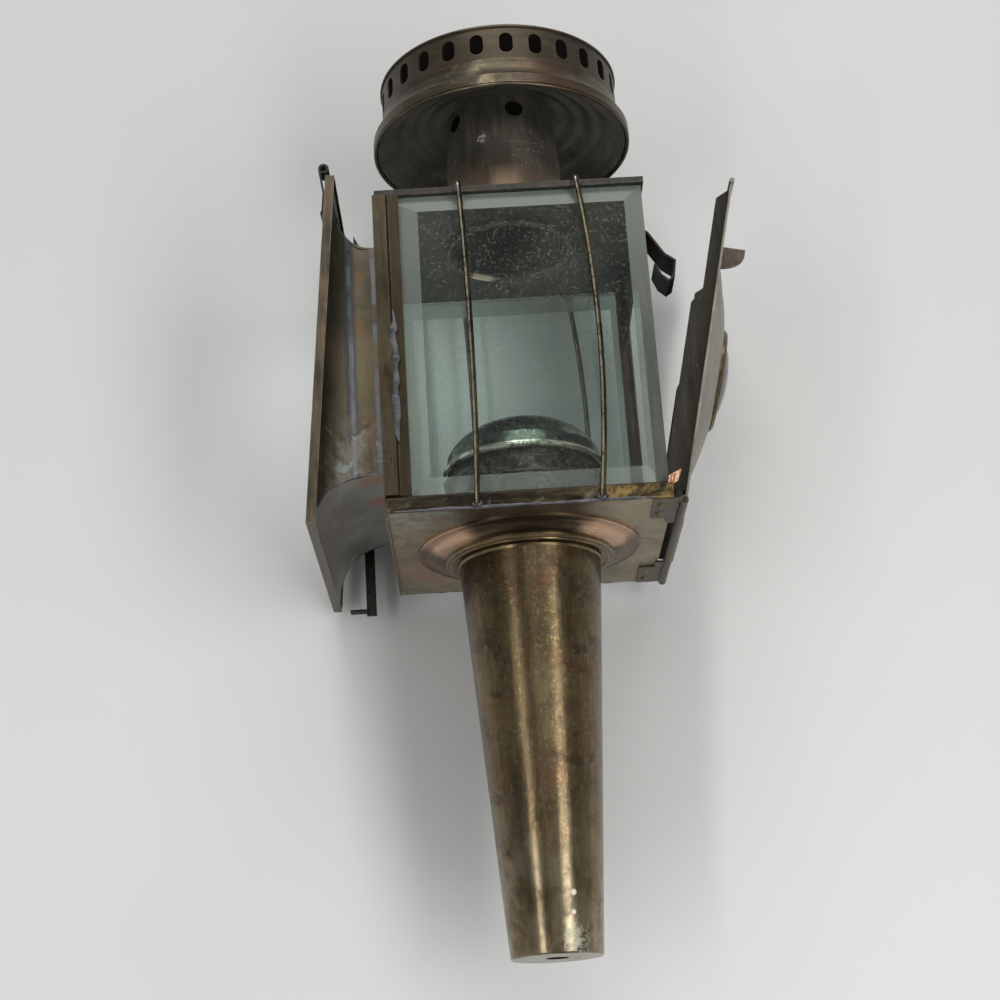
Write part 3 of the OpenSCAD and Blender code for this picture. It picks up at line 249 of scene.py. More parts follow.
def aged_metal(name, deep, body, worn, grain, blotch, rough, wear, grime, specks, scuffs=0.35,
               metallic=0.85, dents=0.00004, marks=(), streak=0.4, soft=(0.32, 0.68)):
    """Old sheet metal: patina in three tones, grain, grime, scuffs, pits, pale specks and rubbed edges.

    marks are (colour, roughness, mask function) for local stains, solder smears and heat tints, and for
    painted highlights and painted shade."""
    paint = Paint(name)
    run = paint.stretched(*grain)
    broad = paint.clouds(blotch, 5, 0.6, 0.4)
    fine = paint.clouds(420, 6, 0.7, 0.2, run)
    colour = paint.blend(paint.step(broad, *soft), ink(deep), ink(body))
    colour = paint.blend(paint.times(paint.step(fine, 0.42, 0.75), streak), colour, ink(worn))
    soot = paint.times(paint.step(paint.clouds(blotch * 2.3, 6, 0.72, 0.6), 0.52, 0.72), grime)
    colour = paint.blend(soot, colour, ink("#211e1a"))
    scratch = paint.clouds(900, 3, 0.8, 0.0, paint.stretched(grain[0] * 0.7, grain[1], grain[2] * 0.35))
    scratched = paint.step(paint.clouds(60, 3), 0.48, 0.62)
    scratch = paint.times(paint.step(scratch, 0.66, 0.72), scratched, scuffs)
    colour = paint.blend(scratch, colour, ink(worn))
    rubbed = paint.times(paint.edges(0.0006), paint.step(paint.clouds(150, 4, 0.7), 0.35, 0.6), wear)
    colour = paint.blend(rubbed, colour, ink(worn))
    dusty = paint.step(paint.clouds(75, 4, 0.7), 0.5, 0.68)
    dust = paint.times(paint.step(paint.cells(520), 0.16, 0.05), dusty, specks)
    colour = paint.blend(dust, colour, ink("#a8a394"))
    roughness = paint.sum("ADD", broad, paint.times(fine, 0.6))
    roughness = paint.step(roughness, 0.5, 1.05, rough[0], rough[1])
    roughness = paint.sum("MAXIMUM", paint.sum("SUBTRACT", roughness, paint.times(rubbed, 0.12)), 0.12)
    for tone, gloss, mask in marks:
        share = mask(paint)
        colour = paint.blend(share, colour, ink(tone))
        rest = paint.times(roughness, paint.sum("SUBTRACT", 1.0, share))
        roughness = paint.sum("MULTIPLY_ADD", share, gloss, rest)
    metal = paint.sum("MULTIPLY_ADD", dust, -metallic, paint.sum("MULTIPLY_ADD", soot, -0.5, metallic))
    relief = paint.sum("ADD", paint.times(fine, 0.35), paint.clouds(blotch * 1.6, 4))
    normal = paint.bump(relief, dents * 3)
    normal = paint.bump(paint.sum("ADD", scratch, paint.times(dust, 1.5)), dents, 0.6, normal)
    paint.shade(colour, roughness, metal, normal)
    return paint.material


def smear(point, reach, ragged=0.6, strength=1.0, scale=150.0):
    """A mask function: a ragged patch round a point."""
    return lambda paint: paint.times(paint.near(point, reach, ragged, scale), strength)


def beyond(axis, low, high, strength=1.0, wobble=0.003):
    """A mask function: rises from 0 to strength between two places along an axis."""

    def mask(paint):
        wander = paint.sum("MULTIPLY_ADD", paint.clouds(140, 5), 2 * wobble, -wobble)
        along = paint.sum("ADD", paint.axis(axis), wander)
        ends = (0.0, 1.0) if low < high else (1.0, 0.0)
        return paint.times(paint.step(along, min(low, high), max(low, high), *ends), strength)

    return mask


def mottled(scale, low, high, strength):
    """A mask function: scattered patches."""
    return lambda paint: paint.times(paint.step(paint.clouds(scale, 6, 0.65, 0.8), low, high), strength)


def line_at(axis, place, half, strength, wobble=0.0008):
    """A mask function: a soft line where the axis has the value of place."""

    def mask(paint):
        wander = paint.sum("MULTIPLY_ADD", paint.clouds(90, 5), 2 * wobble, -wobble - place)
        along = paint.sum("ADD", paint.axis(axis), wander)
        return paint.step(paint.sum("ABSOLUTE", along), half * 0.4, half, strength, 0.0)

    return mask


def both(*masks):
    """A mask function: where all the masks meet."""
    return lambda paint: paint.times(*(mask(paint) for mask in masks))


def pits(scale, strength):
    """A mask function: small round pits."""
    return lambda paint: paint.times(paint.step(paint.cells(scale), 0.2, 0.08), strength)


def stem_finish():
    """The stem: olive bronze, rubbed along its length, corroded near its foot."""
    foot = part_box("stem_tube")[0][2]
    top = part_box("stem_tube")[1][2]
    corroded = Vector((0.0075, -0.0150, foot + 0.005))
    return aged_metal("stem_bronze", "#4a3f30", "#6c5e46", "#9c8b66",
                      DRAWN, 24, (0.2, 0.32), 0.8, 0.15, 0.08, metallic=0.9, streak=0.3,
                      soft=(0.25, 0.75), marks=[
        ("#5f4232", 0.26, mottled(34, 0.48, 0.68, 0.75)),
        ("#6c6341", 0.26, mottled(38, 0.54, 0.72, 0.5)),
        ("#2e2822", 0.3, both(beyond("Z", top - 0.05, top), mottled(44, 0.42, 0.66, 0.6))),
        # Paler towards the foot: worn brass, lightened further as a painted highlight there.
        ("#b9ae94", 0.17, both(beyond("Z", foot + 0.07, foot - 0.01, 0.6), mottled(60, 0.36, 0.6, 0.8))),
        ("#39302a", 0.3, mottled(52, 0.53, 0.66, 0.7)),
        ("#a89264", 0.22, mottled(620, 0.5, 0.68, 0.3)),
        ("#b4b9a9", 0.6, both(smear(corroded, 0.0065, 0.7, 0.9, 520), mottled(500, 0.42, 0.56, 0.8))),
        ("#e0dccf", 0.6, smear(Vector((0.0062, -0.0162, foot + 0.0138)), 0.0011, 0.2)),
        ("#e0dccf", 0.6, smear(Vector((0.0066, -0.0165, foot + 0.0205)), 0.0013, 0.2)),
    ])


def socket_finish():
    return aged_metal("socket_brass", "#4c402e", "#6f6044", "#b5a076",
                      LEVEL, 60, (0.22, 0.4), 0.9, 0.25, 0.1)


def base_finish():
    return aged_metal("base_copper", "#71664f", "#9d927c", "#c6b99c",
                      EVEN, 34, (0.3, 0.5), 0.7, 0.3, 0.3, metallic=0.75, marks=[
        ("#96806a", 0.38, mottled(30, 0.5, 0.7, 0.5)),
        ("#5f563f", 0.4, mottled(46, 0.5, 0.66, 0.6)),
        ("#7d8378", 0.4, mottled(70, 0.56, 0.68, 0.5)),
        ("#97a39c", 0.5, both(smear(spot(-44, -49, -1), 0.02, 0.8), mottled(120, 0.44, 0.58, 0.7))),
        ("#a97c60", 0.3, smear(spot(-38, 22, 0), 0.02, 0.7, 0.5)),
        # Dark patch at the front middle of the pan: a painted dark reflection.
        ("#3a3027", 0.36, smear(spot(-2, -49, 0), 0.036, 0.3, 0.8, 60)),
    ])


def hinge_finish():
    return aged_metal("hinge_copper", "#3d372e", "#655c4d", "#958a76",
                      EVEN, 60, (0.3, 0.5), 0.8, 0.45, 0.3)


def moulding_finish():
    return aged_metal("moulding_copper", "#382e24", "#5b4b38", "#a08a68",
                      LEVEL, 44, (0.26, 0.42), 0.7, 0.3, 0.15, marks=[
        ("#80573f", 0.28, mottled(40, 0.48, 0.66, 0.7)),
        # Dark patch at the front: a painted dark reflection.
        ("#2b221b", 0.3, smear(spot(-3, -45, -3), 0.036, 0.25, 0.68, 60)),
        # Pale coppery patches at the two ends: painted highlights.
        ("#c4a183", 0.26, smear(spot(-33, -22, -3), 0.019, 0.4, 0.8, 70)),
        ("#c4a183", 0.26, smear(spot(32, -24, -3), 0.019, 0.4, 0.8, 70)),
    ])


def drum_finish():
    return aged_metal("drum_bronze", "#39342c", "#50493e", "#766b59",
                      LEVEL, 26, (0.36, 0.52), 0.6, 0.35, 0.2, marks=[
        ("#574639", 0.42, mottled(30, 0.5, 0.7, 0.45)),
    ])


def skirt_finish():
    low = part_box("crown_skirt")[0][2]
    return aged_metal("skirt_copper", "#36312a", "#50493e", "#8c7f68",
                      LEVEL, 30, (0.27, 0.42), 0.9, 0.25, 0.15, marks=[
        # Pale patch low on the rim's front left: rubbed metal with a painted highlight.
        ("#a89b80", 0.26, both(
            smear(Vector((-0.014, -0.052, low + 0.004)), 0.016, 0.9, 0.8, 90),
            mottled(150, 0.44, 0.7, 0.6))),
        ("#6d5546", 0.3, smear(Vector((0.022, -0.047, low + 0.006)), 0.02, 0.8, 0.5, 200)),
    ])


def crown_cap_finish():
    return aged_metal("cap_copper", "#3c362e", "#575044", "#7e735f",
                      LEVEL, 28, (0.34, 0.52), 0.6, 0.45, 0.3)


def underside_finish():
    return aged_metal("underside_bronze", "#504e48", "#726f66", "#8d897c",
                      LEVEL, 30, (0.34, 0.5), 0.4, 0.35, 0.3, metallic=0.7)


def chimney_finish():
    return aged_metal("chimney_bronze", "#4c4942", "#68645c", "#8d887c",
                      UPRIGHT, 40, (0.34, 0.5), 0.5, 0.3, 0.45, metallic=0.6, marks=[
        ("#86694f", 0.32, beyond("Z", ROOF + 0.032, ROOF + 0.012, 0.6)),
        ("#c9c8c0", 0.6, both(
            smear(Vector((-0.0085, -0.0215, ROOF + 0.0375)), 0.0035, 0.5, 1.0, 300),
            mottled(420, 0.46, 0.54, 0.8))),
        ("#c2c1b8", 0.6, both(pits(520, 0.9), smear(Vector((0.012, -0.0195, ROOF + 0.03)), 0.014))),
        ("#171512", 0.6, lambda paint: paint.inside()),
    ])


def roof_finish():
    return aged_metal("roof_copper", "#262522", "#403e39", "#746f63",
                      EVEN, 40, (0.36, 0.6), 0.6, 0.5, 0.9, metallic=0.7)


def stile_finish():
    return aged_metal("stile_brass", "#352f24", "#4d4636", "#776e56",
                      UPRIGHT, 45, (0.32, 0.48), 0.7, 0.5, 0.45, marks=[
        ("#4b3d2c", 0.42, mottled(60, 0.48, 0.62, 0.7)),
        ("#2e2720", 0.6, both(pits(260, 0.8), beyond("Z", BASE + 0.06, BASE + 0.02))),
        ("#2f271d", 0.42, beyond("X", -0.0462, -0.0452, 0.6, 0.0004)),
    ])


def sill_finish():
    return aged_metal("sill_brass", "#1b1813", "#2f2a20", "#7a6a48",
                      ACROSS, 60, (0.3, 0.5), 0.8, 0.4, 0.3, marks=[
        ("#9c8350", 0.28, both(beyond("X", 0.012, 0.034), mottled(120, 0.44, 0.6, 0.8))),
        ("#7d7b75", 0.45, mottled(95, 0.57, 0.68, 0.5)),
    ])


def wire_finish():
    return aged_metal("wire_brass", "#241f17", "#40382a", "#8f815f",
                      UPRIGHT, 90, (0.2, 0.34), 0.3, 0.35, 0.1, marks=[
        # Pale line along the left front of each wire, broken into specks: a painted highlight.
        ("#efe5c6", 0.18, both(
            lambda paint: paint.turned("X", -0.75, -0.35, 0.1), mottled(420, 0.32, 0.56, 0.9))),
    ])


def cove_finish():
    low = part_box("hood_cove_front")[0][2]
    foot = smear(Vector((-0.058, -0.044, low + 0.024)), 0.026, 0.5, 1.0, 60)
    return aged_metal("cove_bronze", "#4b463a", "#696252", "#878069",
                      UPRIGHT, 26, (0.3, 0.42), 0.6, 0.12, 0.2, 0.15, streak=0.2, marks=[
        ("#746b4c", 0.38, mottled(26, 0.5, 0.7, 0.6)),
        ("#745a42", 0.34, both(
            line_at("X", -0.0575, 0.0042, 1.0, 0.0012), mottled(44, 0.46, 0.6, 0.75))),
        ("#4f525a", 0.32, line_at("X", -0.0625, 0.003, 0.7, 0.001)),
        ("#7f848c", 0.34, both(line_at("X", -0.0622, 0.0011, 0.9, 0.0006), mottled(50, 0.4, 0.56, 0.8))),
        ("#80858c", 0.34, both(
            line_at("X", -0.0528, 0.0014, 0.9, 0.0008), mottled(55, 0.36, 0.56, 0.85))),
        ("#878279", 0.34, both(foot, mottled(50, 0.42, 0.62, 0.7))),
        ("#8fa39f", 0.4, both(foot, mottled(150, 0.56, 0.64, 0.6))),
    ])


def bottom_cove_finish():
    return aged_metal("bottom_cove_bronze", "#7d7b77", "#9e9c98", "#b5b3ad",
                      LEVEL, 22, (0.36, 0.5), 0.6, 0.12, 0.2, 0.15, metallic=0.6, marks=[
        ("#a87550", 0.34, smear(spot(-55.5, -36, 13.5), 0.0095, 0.25, 0.85, 60)),
        ("#a56a4a", 0.34, smear(spot(-54.5, -12, 13.5), 0.009, 0.3, 0.8, 60)),
        ("#7d7260", 0.4, mottled(22, 0.54, 0.7, 0.5)),
    ])


def rim_finish():
    return aged_metal("rim_bronze", "#3c362e", "#5d5447", "#8f836e",
                      UPRIGHT, 60, (0.32, 0.5), 0.9, 0.3, 0.2)


def wall_finish():
    return aged_metal("wall_bronze", "#2b2620", "#4a4235", "#776b57",
                      UPRIGHT, 60, (0.35, 0.55), 0.6, 0.5, 0.5)


def flange_finish():
    return aged_metal("flange_copper", "#4f4233", "#74654f", "#9c8c70",
                      UPRIGHT, 50, (0.3, 0.48), 0.7, 0.35, 0.3, marks=[
        ("#87837c", 0.4, mottled(80, 0.56, 0.68, 0.6)),
        ("#8b6048", 0.36, mottled(60, 0.54, 0.66, 0.5)),
    ])


def tray_finish():
    return aged_metal("tray_bronze", "#272623", "#37352f", "#585348",
                      UPRIGHT, 45, (0.4, 0.6), 0.5, 0.35, 0.35)


def panel_finish():
    return aged_metal("panel_bronze", "#6f6a60", "#918b80", "#b3aea2",
                      EVEN, 60, (0.36, 0.52), 0.5, 0.25, 0.4, marks=[
        ("#5d5248", 0.45, mottled(34, 0.56, 0.7, 0.5)),
    ])


def bezel_finish():
    return aged_metal("bezel_brass", "#37301f", "#5c5138", "#97865c",
                      EVEN, 80, (0.3, 0.45), 0.9, 0.4, 0.2)


def tab_finish():
    return aged_metal("tab_copper", "#423a33", "#5b5149", "#80756b",
                      EVEN, 90, (0.34, 0.5), 0.8, 0.3, 0.3)


def dish_finish():
    """The wind dish: dark, glossy, with spatter of wax on its top and a painted highlight along its rim
    bead.
    """
    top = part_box("wind_dish")[1][2]
    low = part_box("wind_dish")[0][2]
    return aged_metal("dish_bronze", "#2c332e", "#49524b", "#8f988f",
                      EVEN, 60, (0.16, 0.3), 0.9, 0.15, 0.3, 0.05, marks=[
        # Pale ragged line on the rim bead: a painted highlight.
        ("#dedccd", 0.13, both(
            beyond("Z", low + 0.0032, low + 0.0022, 0.95, 0.0003), mottled(90, 0.36, 0.54, 1.0))),
        ("#15181a", 0.5, both(mottled(520, 0.5, 0.6, 0.75), beyond("Z", top - 0.016, top - 0.006))),
        ("#d0d4c8", 0.5, both(pits(420, 0.8), beyond("Z", top - 0.014, top - 0.004))),
    ])


def gallery_finish():
    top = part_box("dish_gallery")[1][2]
    return aged_metal("gallery_bronze", "#23251f", "#3d3e36", "#a5a294",
                      EVEN, 60, (0.18, 0.32), 0.9, 0.2, 0.2, 0.05, marks=[
        # Pale line near the gallery's top edge: a painted highlight.
        ("#efeee2", 0.16, both(
            line_at("Z", top - 0.0035, 0.0022, 1.0, 0.0006), mottled(70, 0.36, 0.52, 1.0))),
    ])


def ring_finish():
    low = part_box("ceiling_ring")[0][2]
    # Pale spot on the ring's lower edge: a painted highlight.
    painted_highlight = smear(Vector((-0.011, 0.0215, low)), 0.0065, 0.25, 1.0)
    return aged_metal("ring_bronze", "#2f2f2a", "#4b4a42", "#a5a294",
                      EVEN, 60, (0.18, 0.32), 0.9, 0.2, 0.2, 0.05, metallic=0.6, marks=[
        ("#fff3d0", 0.16, painted_highlight),
    ])


def tube_finish():
    return aged_metal("tube_brass", "#5a4d33", "#80704e", "#ab9a72",
                      UPRIGHT, 60, (0.3, 0.5), 0.6, 0.4, 0.2)


def iron_finish():
    return aged_metal("black_iron", "#151514", "#272623", "#5a5752",
                      EVEN, 90, (0.42, 0.65), 0.6, 0.2, 0.15, 0.2, 0.55, marks=[
        ("#4a2d1c", 0.75, mottled(150, 0.56, 0.66, 0.55)),
    ])


def solder_finish():
    return aged_metal("solder_grey", "#434447", "#5d5e61", "#85868a",
                      EVEN, 140, (0.32, 0.5), 0.4, 0.55, 0.1, 0.2, dents=0.00008)


def torn_finish():
    return aged_metal("torn_copper", "#8a6148", "#b08664", "#e2cdb8",
                      EVEN, 120, (0.22, 0.36), 0.5, 0.15, 0.05)


def steel_finish():
    return aged_metal("spring_steel", "#55534f", "#85837e", "#b5b3ae",
                      EVEN, 120, (0.3, 0.45), 0.3, 0.3, 0.1)


def glass_finish(name, tint, passing, dirt_tone, dirt=0.5):
    """Old glass: smooth, tinted, with a film of dust and spatter that shows against the dark, and dull
    grey bevels that are partly dust and partly painted sheen and shade.
    """
    paint = Paint(name)
    high = paint.step(paint.axis("Z"), BASE + 0.05, BASE + 0.125, 0.25, 1.0)
    film = paint.times(paint.step(paint.clouds(20, 5, 0.6), 0.3, 0.75), high, 0.08)
    patchy = paint.step(paint.clouds(120, 5, 0.75), 0.47, 0.6)
    spatter = paint.times(paint.step(paint.cells(480), 0.22, 0.08), patchy, 0.8)
    chance = paint.step(paint.sum("ADD", paint.cells(700, output="Color"), 0.0), 0.35, 0.9)
    spread = paint.step(paint.clouds(40, 5, 0.75), 0.2, 0.55)
    crumbs = paint.times(paint.step(paint.cells(760), 0.5, 0.1), chance, spread, 0.42)
    spots = paint.times(paint.sum("MAXIMUM", spatter, crumbs), paint.sum("MULTIPLY_ADD", high, 0.8, 0.2))
    bevel = paint.tilted()
    # Bevel faces turn a dull grey, more so towards the top: partly dust, partly painted sheen and shade
    # that stand in for the light on the bevels.
    bevel_dust_and_sheen = paint.times(bevel, paint.sum("MULTIPLY_ADD", high, 0.5, 0.18))
    soil = paint.sum("MAXIMUM", paint.times(paint.sum("ADD", film, spots), dirt), bevel_dust_and_sheen)
    clear = paint.add("ShaderNodeBsdfPrincipled")
    clear.inputs["Base Color"].default_value = ink(tint)
    paint.feed(clear.inputs["Roughness"], paint.step(paint.clouds(70, 4), 0.3, 0.8, 0.01, 0.06))
    clear.inputs["IOR"].default_value = 1.5
    clear.inputs["Transmission Weight"].default_value = 1.0
    paint.feed(clear.inputs["Normal"], paint.bump(paint.clouds(18, 2), 0.00006))
    dull = paint.add("ShaderNodeBsdfPrincipled")
    paint.feed(dull.inputs["Base Color"], paint.blend(bevel, ink(dirt_tone), ink("#7c867e")))
    dull.inputs["Roughness"].default_value = 0.7
    coated = paint.add("ShaderNodeMixShader")
    paint.feed(coated.inputs["Fac"], soil)
    paint.tree.links.new(clear.outputs["BSDF"], coated.inputs[1])
    paint.tree.links.new(dull.outputs["BSDF"], coated.inputs[2])
    open_air = paint.add("ShaderNodeBsdfTransparent")
    open_air.inputs["Color"].default_value = ink(passing)
    path = paint.add("ShaderNodeLightPath")
    final = paint.add("ShaderNodeMixShader")
    paint.feed(final.inputs["Fac"], path.outputs["Is Shadow Ray"])
    paint.tree.links.new(coated.outputs["Shader"], final.inputs[1])
    paint.tree.links.new(open_air.outputs["BSDF"], final.inputs[2])
    paint.tree.links.new(final.outputs["Shader"], paint.output.inputs["Surface"])
    return paint.material


def pane_finish():
    return glass_finish("pane_glass", "#f3fdf9", "#fcfdfd", "#a8a699")


def ruby_finish():
    return glass_finish("ruby_glass", "#a0181c", "#a0181c", "#6b3030", 0.2)


def wax_finish():
    paint = Paint("candle_wax")
    broad = paint.clouds(60, 4)
    colour = paint.blend(paint.step(broad, 0.35, 0.7), ink("#e9e2cb"), ink("#d9cda9"))
    normal = paint.bump(paint.clouds(160, 4), 0.0001)
    paint.shade(colour, paint.step(broad, 0.3, 0.7, 0.42, 0.55), 0.0, normal, Subsurface_Weight=0.2)
    return paint.material


def wick_finish():
    paint = Paint("wick_cotton")
    twist = paint.clouds(1800, 3, 0.6, 0.0, paint.stretched(1, 1, 0.4))
    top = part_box("wick")[1][2]
    charred = beyond("Z", top - 0.0012, top - 0.0004, 1.0, 0.0002)(paint)
    colour = paint.blend(charred, ink("#8a8070"), ink("#15120f"))
    colour = paint.blend(paint.times(twist, 0.4), colour, ink("#0d0b0a"))
    paint.shade(colour, 0.9, 0.0, paint.bump(twist, 0.0001))
    return paint.material


# Which finish each CAD node wears
finishes = {
    stem_finish: ["stem_tube", "stem_end"],
    socket_finish: ["stem_socket", "stem_spigot"],
    base_finish: ["base_pan"],
    hinge_finish: ["hinge_straps", "door_leaf"],
    moulding_finish: ["base_moulding"],
    drum_finish: ["crown_band"],
    skirt_finish: ["crown_skirt", "crown_bead"],
    crown_cap_finish: ["crown_cap"],
    underside_finish: ["crown_dish"],
    chimney_finish: ["chimney_lower", "chimney_upper"],
    roof_finish: ["roof_plate"],
    stile_finish: ["front_stile", "back_stile"],
    sill_finish: ["front_sill", "back_sill"],
    wire_finish: ["front_wires", "back_wires"],
    cove_finish: ["hood_cove_front", "hood_cove_back", "hood_cove_top"],
    bottom_cove_finish: ["hood_cove_bottom"],
    rim_finish: ["hood_rim"],
    wall_finish: ["corner_posts", "hood_wall", "door_wall"],
    flange_finish: ["hood_flange", "hood_beads"],
    tray_finish: ["door_tray"],
    panel_finish: ["door_panel"],
    bezel_finish: ["lens_bezel", "lens_ring"],
    tab_finish: ["thumb_tab"],
    dish_finish: ["wind_dish"],
    gallery_finish: ["dish_gallery"],
    ring_finish: ["ceiling_ring"],
    tube_finish: ["candle_tube", "candle_nozzle", "follower", "rivets"],
    iron_finish: ["hood_lug", "hood_stay", "hinge_pin", "catch_plate", "door_catch", "catch_peg",
                  "rim_clip_front", "rim_clip_back"],
    steel_finish: ["feed_spring"],
    pane_finish: ["front_glass", "back_glass", "hood_glass"],
    ruby_finish: ["rear_lens"],
    wax_finish: ["candle"],
    wick_finish: ["wick"],
}


def dress():
    for finish, nodes in finishes.items():
        material = finish()
        for name in nodes:
            mesh = frame["nodes"][name].data
            mesh.materials.clear()
            mesh.materials.append(material)


dress()


def piece(name, points, faces, material, body):
    """A new smooth mesh that rides on a body."""
    mesh = bpy.data.meshes.new(name)
    mesh.from_pydata([tuple(p) for p in points], [], faces)
    mesh.validate()
    mesh.update()
    mesh.polygons.foreach_set("use_smooth", [True] * len(mesh.polygons))
    mesh.materials.append(material)
    thing = bpy.data.objects.new(name, mesh)
    bpy.context.scene.collection.objects.link(thing)
    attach(thing, body)


solder = solder_finish()


def solder_run(name, line, outs, width, height, seed, tapered=True):
    """A lumpy fillet of solder along a line of places in metres, width and height in millimetres.

    outs says which way the solder stands out at each place."""
    points = []
    reach = [0.0]
    for a, b in zip(line, line[1:]):
        reach.append(reach[-1] + (b - a).length)
    rings = max(8, int(reach[-1] / (0.8 * MM)))
    sides = 9
    for i in range(rings + 1):
        t = i / rings
        k = max(j for j in range(len(line) - 1) if reach[j] <= t * reach[-1] + 1e-9)
        part = (t * reach[-1] - reach[k]) / max(reach[k + 1] - reach[k], 1e-9)
        centre = line[k].lerp(line[k + 1], part)
        up = Vector(outs[k]).lerp(Vector(outs[k + 1]), part).normalized()
        side = (line[k + 1] - line[k]).normalized().cross(up).normalized()
        lump = noise.noise(Vector((t * rings * 0.21, seed * 7.3, 0.0)))
        swell = noise.noise(Vector((t * rings * 0.63, seed * 3.1, 5.0)))
        shrink = min(1.0, 6 * t + 0.15, 6 * (1 - t) + 0.15) if tapered else 1.0
        w = width * MM * (1 + 0.5 * lump + 0.25 * swell) * shrink / 2
        h = height * MM * (1 + 0.5 * swell + 0.35 * lump) * shrink
        sway = noise.noise(Vector((t * rings * 0.13, seed * 1.7, 9.0)))
        centre = centre + side * (0.3 * width * MM * sway)
        for n in range(sides):
            angle = math.pi * (n / (sides - 1)) * 1.16 - 0.08 * math.pi
            points.append(centre + side * (w * math.cos(angle)) + up * (h * math.sin(angle)))
    faces = []
    for i in range(rings):
        for k in range(sides):
            here, after, turned = i * sides, (i + 1) * sides, (k + 1) % sides
            faces.append((here + k, here + turned, after + turned, after + k))
    faces.append(tuple(range(sides - 1, -1, -1)))
    faces.append(tuple(range(rings * sides, (rings + 1) * sides)))
    piece(name, points, faces, solder, "lantern")


def seam(first, second):
    """The line where two nodes of the frame meet, in order along X."""
    ours = [v.co.copy() for v in frame["nodes"][first].data.vertices]
    theirs = [v.co.copy() for v in frame["nodes"][second].data.vertices]
    met = []
    for v in ours:
        near = min(theirs, key=lambda w: (w - v).length)
        if (near - v).length < SEAM_REACH * MM:
            met.append((v + near) / 2)
    met.sort(key=lambda v: v.x)
    line = []
    for v in met:
        if not line or v.x - line[-1][0].x > SEAM_STEP * MM:
            line.append([v])
        else:
            line[-1].append(v)
    return [sum(group, Vector()) / len(group) for group in line]


def blob(name, centre, size, seed):
    """A lumpy flattened drop of solder: size is its half widths in millimetres."""
    rings, sides = 10, 16
    points = []
    middle = spot(*centre)
    for i in range(rings + 1):
        polar = math.pi * i / rings
        for k in range(sides):
            turn = 2 * math.pi * k / sides
            flat = math.sin(polar)
            ray = Vector((flat * math.cos(turn), flat * math.sin(turn), math.cos(polar)))
            lump = 1 + 0.22 * noise.noise(ray * 1.7 + Vector((seed * 5.0, 0, 0)))
            out = Vector((ray.x * size[0], ray.y * size[1], ray.z * size[2])) * lump
            points.append(middle + out * MM)
    faces = []
    for i in range(rings):
        for k in range(sides):
            here, after, turned = i * sides, (i + 1) * sides, (k + 1) % sides
            faces.append((here + k, after + k, after + turned, here + turned))
    piece(name, points, faces, solder, "lantern")


# Solder: down the stile's middle, under the sill, in the hood's mitres, round the chimney's foot,
# and on the wires' ends
def solder_pieces():
    for side, word in ((-1, "front"), (1, "back")):
        face = side * PANE_FACE
        out = (0, side, 0)
        run = [spot(STILE_MIDDLE, face, z) for z in (27, 40, 55, 66, 79)]
        solder_run("solder_stile_" + word, run, [out] * 5, 2.9, 0.42, 2 + side)
        run = [spot(x, face, 0.5) for x in (-49, -25, 0, 22, 46)]
        solder_run("solder_sill_" + word, run, [out] * 5, 1.1, 0.22, 6 + side)
        for number, x in enumerate(WIRE_PLACES):
            for level, z in (("low", 1.9), ("high", 127.5)):
                name = "solder_wire_%s_%d_%s" % (word, number, level)
                blob(name, (x, side * 51.0, z), (2.2, 0.9, 1.5), number + z)
    for upper in ("hood_cove_top", "hood_cove_bottom"):
        for side in ("front", "back"):
            line = seam("hood_cove_" + side, upper)
            facing = 1 if side == "front" else -1
            level = -1 if upper == "hood_cove_top" else 1
            outs = [(-0.35, 0.7 * facing, 0.7 * level)] * len(line)
            solder_run("solder_%s_%s" % (upper, side), line, outs, 1.5, 0.5, len(line) + facing + level)
    ring, outs = [], []
    for i in range(49):
        turn = 2 * math.pi * i / 48
        reach = CHIMNEY_FOOT_RADIUS
        ring.append(spot(reach * math.cos(turn), reach * math.sin(turn), CHIMNEY_FOOT_HEIGHT))
        outs.append((math.cos(turn), math.sin(turn), 0.8))
    solder_run("solder_chimney", ring, outs, 1.6, 0.6, 11, tapered=False)


solder_pieces()


# The torn scrap of copper beside the front sill
def torn_scrap():
    torn = torn_finish()
    low, high = [(49.2, 4.0), (51.0, 5.0), (53.0, 6.2)], [(49.6, 8.0), (52.2, 9.4), (54.6, 10.4)]
    across, up = 12, 9
    points = []
    for layer in (0.0, 0.35):
        for i in range(across + 1):
            t = 2 * i / across
            k, part = (0, t) if t <= 1 else (1, t - 1)
            for j in range(up + 1):
                rise = j / up
                a = [low[k][n] + (low[k + 1][n] - low[k][n]) * part for n in (0, 1)]
                b = [high[k][n] + (high[k + 1][n] - high[k][n]) * part for n in (0, 1)]
                on_edge = j in (0, up) or i in (0, across)
                ragged = 0.4 * noise.noise(Vector((i * 0.7, j * 0.9, 3.0))) if on_edge else 0.0
                curl = 0.7 * rise * rise + 0.3 * noise.noise(Vector((i * 0.35, j * 0.3, 8.0)))
                x = a[0] + (b[0] - a[0]) * rise + ragged
                z = a[1] + (b[1] - a[1]) * rise + ragged
                points.append(spot(x, SCRAP_FACE - min(curl, 1.4) - layer, z))
    row = up + 1
    count = (across + 1) * row
    faces = []
    for i in range(across):
        for j in range(up):
            a, b, c, d = i * row + j, (i + 1) * row + j, (i + 1) * row + j + 1, i * row + j + 1
            faces += [(a, d, c, b), (a + count, b + count, c + count, d + count)]
    rim = [i * row for i in range(across + 1)] + [across * row + j for j in range(1, row)]
    rim += [i * row + up for i in range(across - 1, -1, -1)] + [j for j in range(up - 1, 0, -1)]
    for a, b in zip(rim, rim[1:] + rim[:1]):
        faces.append((a, b, b + count, a + count))
    piece("torn_scrap", points, faces, torn, "lantern")


torn_scrap()


